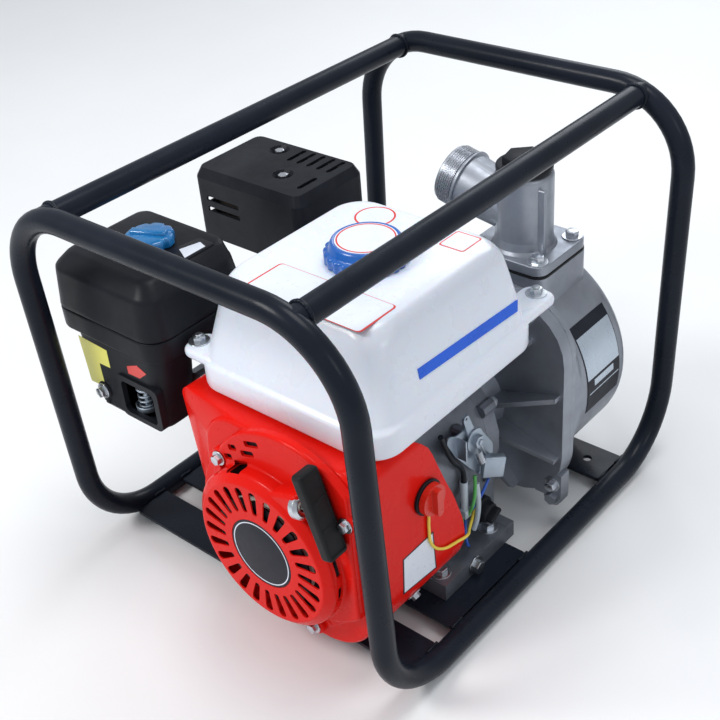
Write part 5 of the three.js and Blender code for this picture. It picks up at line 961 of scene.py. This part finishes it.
def build_cleaner_case():
    case = loft("air_cleaner_case_moulding", [cleaner_ring(*sizes) for sizes in (
        (166.3, 9, 30, 12, 68, 13), (167.4, 6.6, 30, 12, 68, 15), (170, 4.2, 30, 12, 68, 17),
        (173, 3, 30, 12, 68, 18), (244, 3, 15, 0, 68, 19), (246.3, 3.2, 8, 0, 68, 19),
        (246.5, 2, 1.5, 1, 1, 20), (247.4, 0.9, 0, 0, 0, 21), (249, 0.2), (266.6,), (267.7, 0.4),
        (268.3, 1.2))])
    rim = prism("window_rim", oblong(-137, -80, 173, 219, 7, 6), 'Y', -207.6, -200)
    bolt_at = (-162, -207, 188.3)
    lug = rod("bolt_lug", 9, bolt_at, (-162, -198, 188.3), 1.5)
    web = box("web", (-165, -206, 172), (-159, -203, 190), 1)
    fuse(case, rim, lug, web)
    hollow = loft("hollow", [cleaner_ring(height, 6, 30, 12, 68, 14) for height in (172.3, 243.3)])
    window = prism("window", oblong(-131, -86.5, 178.3, 213, 5, 5), 'Y', -213, -196)
    cut(case, hollow, window)
    stud = rod("stud", 3, (*STUD, 262), (*STUD, 329), 0.6, 20)
    fuse(case, stud)
    soften(case, 0.6, 40)
    wear(case, "grained_black", "air_cleaner_case")
    fasten("air_cleaner_bolt", [(bolt_at, -Y)], 11, 5, 1)
    wear(box("filter_element", (-176, -196, 214), (-98, -162, 242.8), 3), "filter_foam")

    at = Vector((-118.5, -191, 177.6))
    cup = [(0, 0), (11.4, 0, 0.8), (11.8, 5.6, 0.5), (10.6, 5.6, 0.5), (9.6, 1.6, 0.6), (0, 1.6)]
    plunger = [turned("plunger_cup", cup, at, Z, 48),
               turned("plunger_collar", collar(21.6, 24, 3.2, 9, 0.8, 0.8), at, Z, 40),
               rod("plunger_stem", 3.4, at + Z, at + Z * 30, 0.8, 24),
               coil("plunger_spring", 1, 7.6, 5.4, 3, at + Z * 3.4, Z)]
    wear(smooth(gather("drain_plunger_set", plunger)), "plated_sheet", "drain_plunger")

    for name, finish, outline in (
            ("cleaner_film_yellow", "film_yellow", [
                (-182, 190.5), (-161, 191.5), (-162, 218.5), (-146, 219), (-146, 238.4),
                (-186.4, 240.6)]),
            ("cleaner_film_red", "film_red", [
                (-119, 223.6), (-103, 224.2), (-92, 233), (-104, 238), (-119, 231.6)])):
        wear(prism(name, outline, 'Y', -205.25, -204.8), finish)


# Exhaust side
def build_exhaust():
    wear(refined("muffler_guard", "muffler_guard_steel", 0.6, 20, 2), "guard_black", "muffler_guard")
    fasten("guard_screws", [((-172.1, 67.6, 318.6), Z), ((-128.6, 26.7, 318.6), Z)], 10.5, 5.6, 1.2)
    wear(refined("muffler", "muffler_steel", 1.2, 25, 3), "heat_steel", "muffler")


# Cast engine parts, fuel parts and controls: the CAD shapes with their edges rounded
def finish_solids(angle, finish, body, **edges):
    """Rounds the edges of the named CAD solids, each by its own radius."""
    for name, edge in edges.items():
        wear(refined(name, name + "_finished", edge, angle, 3), finish, name, body=body)


def build_engine_parts():
    finish_solids(25, "cast_engine", "frame", crankcase=1.6, crankcase_side_cover=1.4,
                  cylinder_barrel=0.7, cylinder_head=0.7, rocker_cover=1.8)
    finish_solids(25, "cast_aluminium", "frame", carburettor=0.9)
    finish_solids(25, "grained_black", "frame", carburettor_insulator=0.8)
    finish_solids(25, "grained_black", "choke", choke_lever=0.5)
    finish_solids(25, "grained_black", "fuel_valve", fuel_valve_lever=0.5)
    finish_solids(25, "grained_black", "frame", switch_bezel=0.9)
    finish_solids(25, "knob_red", "switch", switch_knob=1.4)
    finish_solids(25, "glazed_white", "frame", spark_plug=0.5)
    finish_solids(25, "grey_iron", "rotor", flywheel_fan=0.5)
    finish_solids(25, "bright_zinc", "rotor", starter_cup=0.5, flywheel_nut=0.8, crankshaft=0.6)
    finish_solids(25, "bright_zinc", "frame", reel_retainer=0.4)


def build_oil_cap():
    at = (137.7, -23, 62.3)
    body = [(0, 0), (14, 0, 0.4), (14, 5, 1.5), (11.5, 7, 1), (10, 14, 2), (0, 14.6)]
    cap = turned("oil_cap_moulding", body, at, X, 40)
    blade = box("blade", (8, -9, -2.4), (20.6, 9, 2.4), 1.9, 4)
    fuse(cap, place(blade, shift(at) @ swing(20, 'X')))
    wear(smooth(cap), "grained_black", "oil_filler_cap", body="oil_cap")


def build_engine_fasteners():
    tilt = radians(25)
    along = Vector((-cos(tilt), 0, sin(tilt)))
    across = Vector((sin(tilt), 0, cos(tilt)))
    cylinder = CRANK + Y * -62
    top = cylinder + along * 206.9
    places = [(top + across * (side * 30) + Y * (end * 25), along)
              for side in (-1, 1) for end in (-1, 1)]
    fasten("rocker_cover_bolts", places, 9, 4.5, 0.5)
    circle = [polar(0, 0, 76, radians(60 * i + 30)) for i in range(6)]
    rim = [(CRANK + at, Y) for at in at_height(circle, 13, 'Y')]
    fasten("side_cover_bolts", rim, 9.5, 5, 0.6)
    fasten("oil_drain_bolt", [((157.2, -57.8, 26), X)], 13, 6, 1.8)
    slant = Vector((cos(radians(34)), 0, -sin(radians(34))))
    fasten("fan_cover_screw", [((149.4, -140, 50.6), slant)], 9, 4, 1.5)


def arm_outline(length, width, tip):
    return rounded([(-width / 2, -width / 2, width * 0.48), (width / 2, -width / 2, width * 0.48),
                    (tip / 2, length, tip * 0.48), (-tip / 2, length, tip * 0.48)], 8)


PIVOT = (-38, 158.3)        # y and z of the throttle lever's pivot
GOVERNOR = (-18, 120.3)     # y and z of the governor's shaft


def control_arm(name, length, turn, at):
    """A flat tapered lever pointing up, turned about its pivot and put on the right-hand wall."""
    arm = prism(name, arm_outline(length, 11, 7.7), 'X', 142.3, 144.8)
    return place(arm, shift((0, *at)) @ swing(turn, 'X'))


def crosswise(name, radius, x0, x1, at, edge=0.0, steps=32):
    """A rod along X through a point given by its y and z."""
    return rod(name, radius, (x0, *at), (x1, *at), edge, steps)


def build_controls():
    outline = [(-75, 182, 4), (-59, 174, 10), (-37, 173, 12), (-22, 157, 12), (-5, 132, 10),
               (-6, 108, 11), (-27, 108, 11), (-45, 130, 10), (-62, 152, 6), (-73, 172, 4)]
    plate = prism("control_bracket_steel", rounded(outline[::-1], 8), 'X', 140.3, 142)
    fuse(plate, box("flange", (140.3, -60, 150), (152, -58.2, 172), 0))
    cut(plate, crosswise("hole", 7.4, 130, 150, GOVERNOR, 0, 40))
    wear(soften(plate, 0.4, 40), "plated_sheet", "control_bracket")
    pivot = gather("throttle_pivot", [
        crosswise("pivot", 3, 141.8, 153.4, PIVOT, 0.6),
        turned("washer", collar(0, 1.6, 0, 11.6, 0.3, 0.5), (145, *PIVOT), X, 48),
        hexagon("nut", 13, 5.4, (146.4, *PIVOT), X, 15)])
    wear(smooth(pivot, 30), "plated_sheet")
    throttle = control_arm("throttle_lever_steel", 34, 20, PIVOT)
    fuse(throttle, control_arm("tail", 20, 110, PIVOT))
    cut(throttle, crosswise("hole", 3.2, 130, 150, PIVOT),
        crosswise("hole", 1.4, 130, 150, (-48.6, 187.5), 0, 16))
    wear(soften(throttle, 0.4, 40), "plated_sheet", "throttle_lever", body="throttle")
    governor = control_arm("governor_arm_steel", 30, -126, GOVERNOR)
    fuse(governor, crosswise("boss", 6.7, 137.3, 146, GOVERNOR, 0.3))
    soften(governor, 0.4, 40)
    nut = hexagon("nut", 17, 6, (144.8, *GOVERNOR), X, 10, 1.2)
    clamp = box("clamp", (-4, -10.5, -11.5), (4, 10.5, 11.5), 1.4)
    place(clamp, shift((152.5, -20, 119.5)) @ swing(-38, 'Z') @ swing(-8, 'X'))
    pieces = gather("governor_arm_steel", [governor, nut, clamp])
    wear(smooth(pieces, 30), "plated_sheet", "governor_arm", body="governor")
    way = [(146, -20, 128), (147, -27, 140), (147, -32, 150), (146, -37, 160)]
    wear(lead("governor_link", way, 1.1, 8), "bright_zinc")
    spring = coil("governor_spring", 0.6, 3.2, 1.9, 9, (150, -34, 132), (0, -0.35, 0.94))
    wear(spring, "bright_zinc")
    for name, finish, thick, points in (
            ("blue_wire", "blue_sheath", 1.5,
             [(143.5, -48, 76), (149, -42, 88), (151, -34, 98), (150, -24, 105.5)]),
            ("blue_wire_low", "blue_sheath", 1.5,
             [(143, -52, 76), (147, -58, 66), (150, -60, 52), (146, -52, 40)]),
            ("green_wire", "green_sheath", 1.7,
             [(145, -50, 77), (150, -49, 92), (149, -44, 106), (146, -40, 118)]),
            ("green_wire_low", "green_sheath", 1.6,
             [(141, -54, 76), (146, -62, 70), (147, -66, 58), (143, -64, 44)]),
            ("clear_tube", "clear_sleeve", 2.6,
             [(148, -46, 58), (151, -44, 74), (151, -42, 92), (148, -40, 110)])):
        wear(lead(name, points, thick, 12, 12), finish)


def build_leads():
    yellow = lead("switch_lead_sheath", [
        (161.9, -128, 145.5), (161.9, -129, 127.1), (161.9, -127, 109.1), (161.9, -112.6, 91.2),
        (162, -88, 82.3), (161.4, -74, 78.3), (154.15, -61, 73.3), (147, -46, 73.3),
        (147, -41, 84.3)], 1.45, 12, 16)
    wear(yellow, "yellow_sheath", "switch_lead")
    profile = [(2.9, 0, 0.3), (4, 0, 0.4), (4, 32, 0.4), (2.9, 32, 0.3)]
    sleeve = turned("lead_sleeve", profile, (141.3, -51, 84.3), Z, 28)
    connector = box("lead_connector", (136.4, -56, 74.4), (146.2, -46, 84.5), 1.1)
    bundle = lead("lead_bundle_sheath", [
        (141.3, -51, 84.5), (141.3, -51, 100), (141.3, -51, 116.1), (141.3, -51, 126.3),
        (145.3, -73, 158.3), (152, -95, 200.3)], 2.5, 12, 16)
    wear(smooth(sleeve), "clear_sleeve", "lead_bundle")
    wear(smooth(connector), "clear_sleeve")
    wear(bundle, "grained_black")


def build_side_film():
    outer = [(-163.7, 116.5), (-121, 117.5), (-119, 72.5), (-166, 77)]
    centre = Vector((-142.5, 95.5))
    for name, finish, scale, lift in (("side_film_edge", "badge_black", 1, 0.16),
                                      ("side_film", "film_white", 0.93, 0.24)):
        outline = [centre + (Vector(p) - centre) * scale for p in outer]
        wear(prism(name, outline, 'X', 159.8, 160 + lift), finish)


build_cleaner_cover()
build_cleaner_knob()
build_cleaner_case()
build_exhaust()
build_engine_parts()
build_oil_cap()
build_engine_fasteners()
build_controls()
build_leads()
build_side_film()


# Pump: adapter, casing with its neck, discharge elbow, priming plug and suction flange
def build_pump_pieces():
    finish_solids(25, "cast_aluminium", "frame", pump_adapter=1.1)
    finish_solids(30, "machined_alloy", "frame", suction_flange=0.8)
    finish_solids(25, "dull_bronze", "frame", casing_drain_plug=0.8)
    finish_solids(30, "moulded_rubber", "frame", discharge_gasket=0.3)
    finish_solids(30, "moulded_rubber", "flap", check_valve_flap=0.5)
    finish_solids(30, "grey_iron", "frame", volute=0.8)
    finish_solids(30, "dull_bronze", "rotor", impeller=0.6)
    finish_solids(30, "moulded_rubber", "frame", shaft_seal=0.3)
    finish_solids(30, "bright_zinc", "frame", flap_pin=0.3)


def rim_ring(y, inset):
    """The rounded square of the casing's rim."""
    x, z = 61, 122.3 + 17
    wide, high = 117 - inset, 111
    outline = oblong(x - wide, x + wide, z - high + inset, z + high - inset, 58 - inset / 2, 23)
    return at_height(outline, y, 'Y')


def round_ring(y, radius):
    """The casing's round part, with as many corners as its rim."""
    x, z = CASING
    outline = oblong(x - radius, x + radius, z - radius, z + radius, radius * 0.99, 23)
    return at_height(outline, y, 'Y')


def build_casing():
    rings = [rim_ring(y, inset) for y, inset in (
        (72.3, 0.9), (73.1, 0.1), (78, 0), (79.6, 0.7), (80.4, 2.4))]
    inner, outer = rim_ring(82.3, 7), round_ring(104, 113)
    for share in (0, 0.2, 0.4, 0.6, 0.8, 1):
        ease = share * share * (3 - 2 * share)
        rings.append([Vector((a.lerp(b, ease).x, 82.3 + 21.7 * share, a.lerp(b, ease).z))
                      for a, b in zip(inner, outer)])
    for k in range(7):
        angle = radians(15 * k)
        rings.append(round_ring(174 + 12 * sin(angle), 113 - 12 * (1 - cos(angle))))
    casing = loft("pump_casing_casting", rings)
    neck = prism("neck", oblong(40, 130, 92, 176, 12, 8), 'Z', 150, 252.3)
    foot = box("foot", (6, 140, 16.3), (116, 174, 65.8), 3)
    suction_z, drain_z = 148.3, 44.3
    boss = rod("boss", 46, (61, 170, suction_z), (61, 186, suction_z), 0.6, 96)
    drain = rod("boss", 14, (61, 170, drain_z), (61, 186, drain_z), 0.6, 48)
    fuse(casing, neck, foot, boss, drain)
    cut(casing, rod("cavity", 95, (61, 67, 130.3), (61, 178, 130.3), 0, 96),
        prism("way", oblong(48, 122, 100, 168, 6), 'Z', 180, 262),
        rod("suction", 23, (61, 170, suction_z), (61, 194, suction_z), 0, 64),
        rod("drain", 4.4, (61, 170, drain_z), (61, 194, drain_z), 0, 24))
    soften(casing, 1.6, 40, 3)
    wear(casing, "cast_aluminium", "pump_casing")


def build_elbow():
    tilt = radians(14)
    along = Vector((-cos(tilt), 0, sin(tilt)))
    start = Vector((*NECK, 296.3))
    seat = oblong(40.5, 129.5, 92.5, 175.5, 12, 8)
    flange = prism("discharge_elbow_casting", seat, 'Z', 254.9, 264.9)
    bevel(flange, 1, 3, level)
    profile = [(0, 0), (32.5, 0), (29.6, 4.2, 3), (28, 12, 8), (28, 77.3, 5), (0, 77.3)]
    column = turned("column", profile, (*NECK, 264), Z, 96)
    pipe = turned("pipe", [(0, 0), (24, 0), (28.6, 64, 1), (31.5, 64.2, 1), (31.5, 67, 1), (28.6, 67.2),
                           (28.6, 87, 1.2), (0, 87)], start, along, 96)
    throat = bent_tube("throat", 21.6, [(*NECK, 258), (*NECK, 296.3), start + along * 70], 34, 64, 20)
    ridge = box("ridge", (85, 117, 262), (116.6, 121, 331.3), 1.4, 4)
    fuse(flange, column, pipe, throat, ridge)
    cut(flange, rod("bore", 21.6, start, start + along * 100, 0, 80),
        rod("bore", 21.6, (*NECK, 250), (*NECK, 297), 0, 80),
        rod("priming_bore", 10, (*NECK, 290), (*NECK, 350), 0, 64))
    soften(flange, 1.1, 42, 3)
    wear(flange, "cast_aluminium", "discharge_elbow")
    pitch = 2.3
    tooth = [(28, 0), (28.5, 0.2), (29.9, 1, 0.2), (29.9, 1.3, 0.2), (28.5, 2.1), (28, pitch)]
    thread = [turned("thread", tooth, start + along * (68.4 + pitch * i), along, 96) for i in range(7)]
    wear(smooth(gather("discharge_thread", thread), 50), "machined_alloy")
    places = [((x, y, 264.9), Z) for x in (52, 118) for y in (104, 164)]
    fasten("elbow_bolts", places, 13, 5.6, 2)


def build_priming_plug():
    profile = [(0, 0), (9.6, 0), (9.6, 14), (25, 14, 1), (27, 15.4, 1.2), (27, 20.4, 1.6), (0, 21)]
    plug = turned("priming_plug_moulding", profile, (*NECK, 327.6), Z, 96)
    fuse(plug, hexagon("head", 42, 14.6, (*NECK, 341.2), Z, 12, 2))
    wear(smooth(plug, 30), "grained_black", "priming_plug", body="priming_plug")


def build_casing_plate():
    """A thin plate bent round the casing, with its fields; angles in degrees from the +X side."""
    for name, finish, first, last, thick, y0, y1 in (
            ("casing_plate", "badge_black", -11, 37.5, 0.7, 109, 168),
            ("casing_plate_field", "plate_silver", 8, 31, 0.85, 110, 167),
            ("casing_plate_bar", "plate_silver", 2.8, 6.4, 0.85, 121, 156),
            ("casing_plate_line", "plate_silver", -0.5, 0.1, 0.85, 112, 166)):
        angles = [radians(first + (last - first) * i / 20) for i in range(21)]
        outer, inner = ([polar(*CASING, radius, angle) for angle in angles]
                        for radius in (113 + thick, 112.6))
        wear(smooth(prism(name, outer + inner[::-1], 'Y', y0, y1), 30), finish)


build_pump_pieces()
build_casing()
build_elbow()
build_priming_plug()
build_casing_plate()
fasten("adapter_lug_bolts", [((CRANK.x + side * 107, 58, 51), -Y) for side in (-1, 1)], 11, 6, 1.5)


# Floor, lights and camera
def build_stage():
    free()
    bpy.ops.mesh.primitive_plane_add(size=12, location=(0, 0, 0))
    floor = named("floor")
    pale = surface("floor_pale", (0.86, 0.87, 0.88), (0.84, 0.85, 0.865), 0.0, (0.55, 0.65), 2,
                   60, 0.00005)
    floor.data.materials.append(pale)
    world = bpy.data.worlds.new("studio")
    world.use_nodes = True
    world.node_tree.nodes["Background"].inputs["Color"].default_value = (0.93, 0.96, 1.0, 1)
    world.node_tree.nodes["Background"].inputs["Strength"].default_value = 0.55
    bpy.context.scene.world = world
    bpy.context.scene.view_settings.view_transform = 'Standard'
    lights = [
        ("key_light", (-0.9, -1.6, 1.9), 0.8, 29, (1.0, 0.99, 0.97)),
        ("fill_light", (1.9, -0.3, 1.5), 0.7, 4, (0.92, 0.96, 1.0)),
        ("top_light", (0.2, 0.3, 2.3), 1.0, 17, (1.0, 1.0, 1.0)),
        ("rear_light", (-0.6, 1.9, 1.4), 1.2, 12, (0.9, 0.95, 1.0)),
    ]
    for name, at, size, power, colour in lights:
        free()
        bpy.ops.object.light_add(type='AREA', location=at)
        light = named(name)
        light.data.shape = 'DISK'
        light.data.size = size
        light.data.energy = power
        light.data.color = colour
        light.rotation_euler = (Vector((0, 0, 0.15)) - Vector(at)).to_track_quat('-Z', 'Y').to_euler()


def build_camera():
    free()
    bpy.ops.object.camera_add()
    camera = named("photo_camera")
    camera.data.lens = 59.29
    camera.data.sensor_width = 36
    camera.data.dof.use_dof = False
    right = Vector((0.76077249, 0.64486036, -0.07335083))
    upward = Vector((-0.31638971, 0.46717167, 0.82561988))
    back = Vector((0.56667696, -0.60490144, 0.55943853))
    turn = Matrix((right, upward, back)).transposed().to_4x4()
    camera.matrix_world = Matrix.Translation((0.6487, -0.7162, 0.8217)) @ turn
    bpy.context.scene.camera = camera


build_stage()
build_camera()
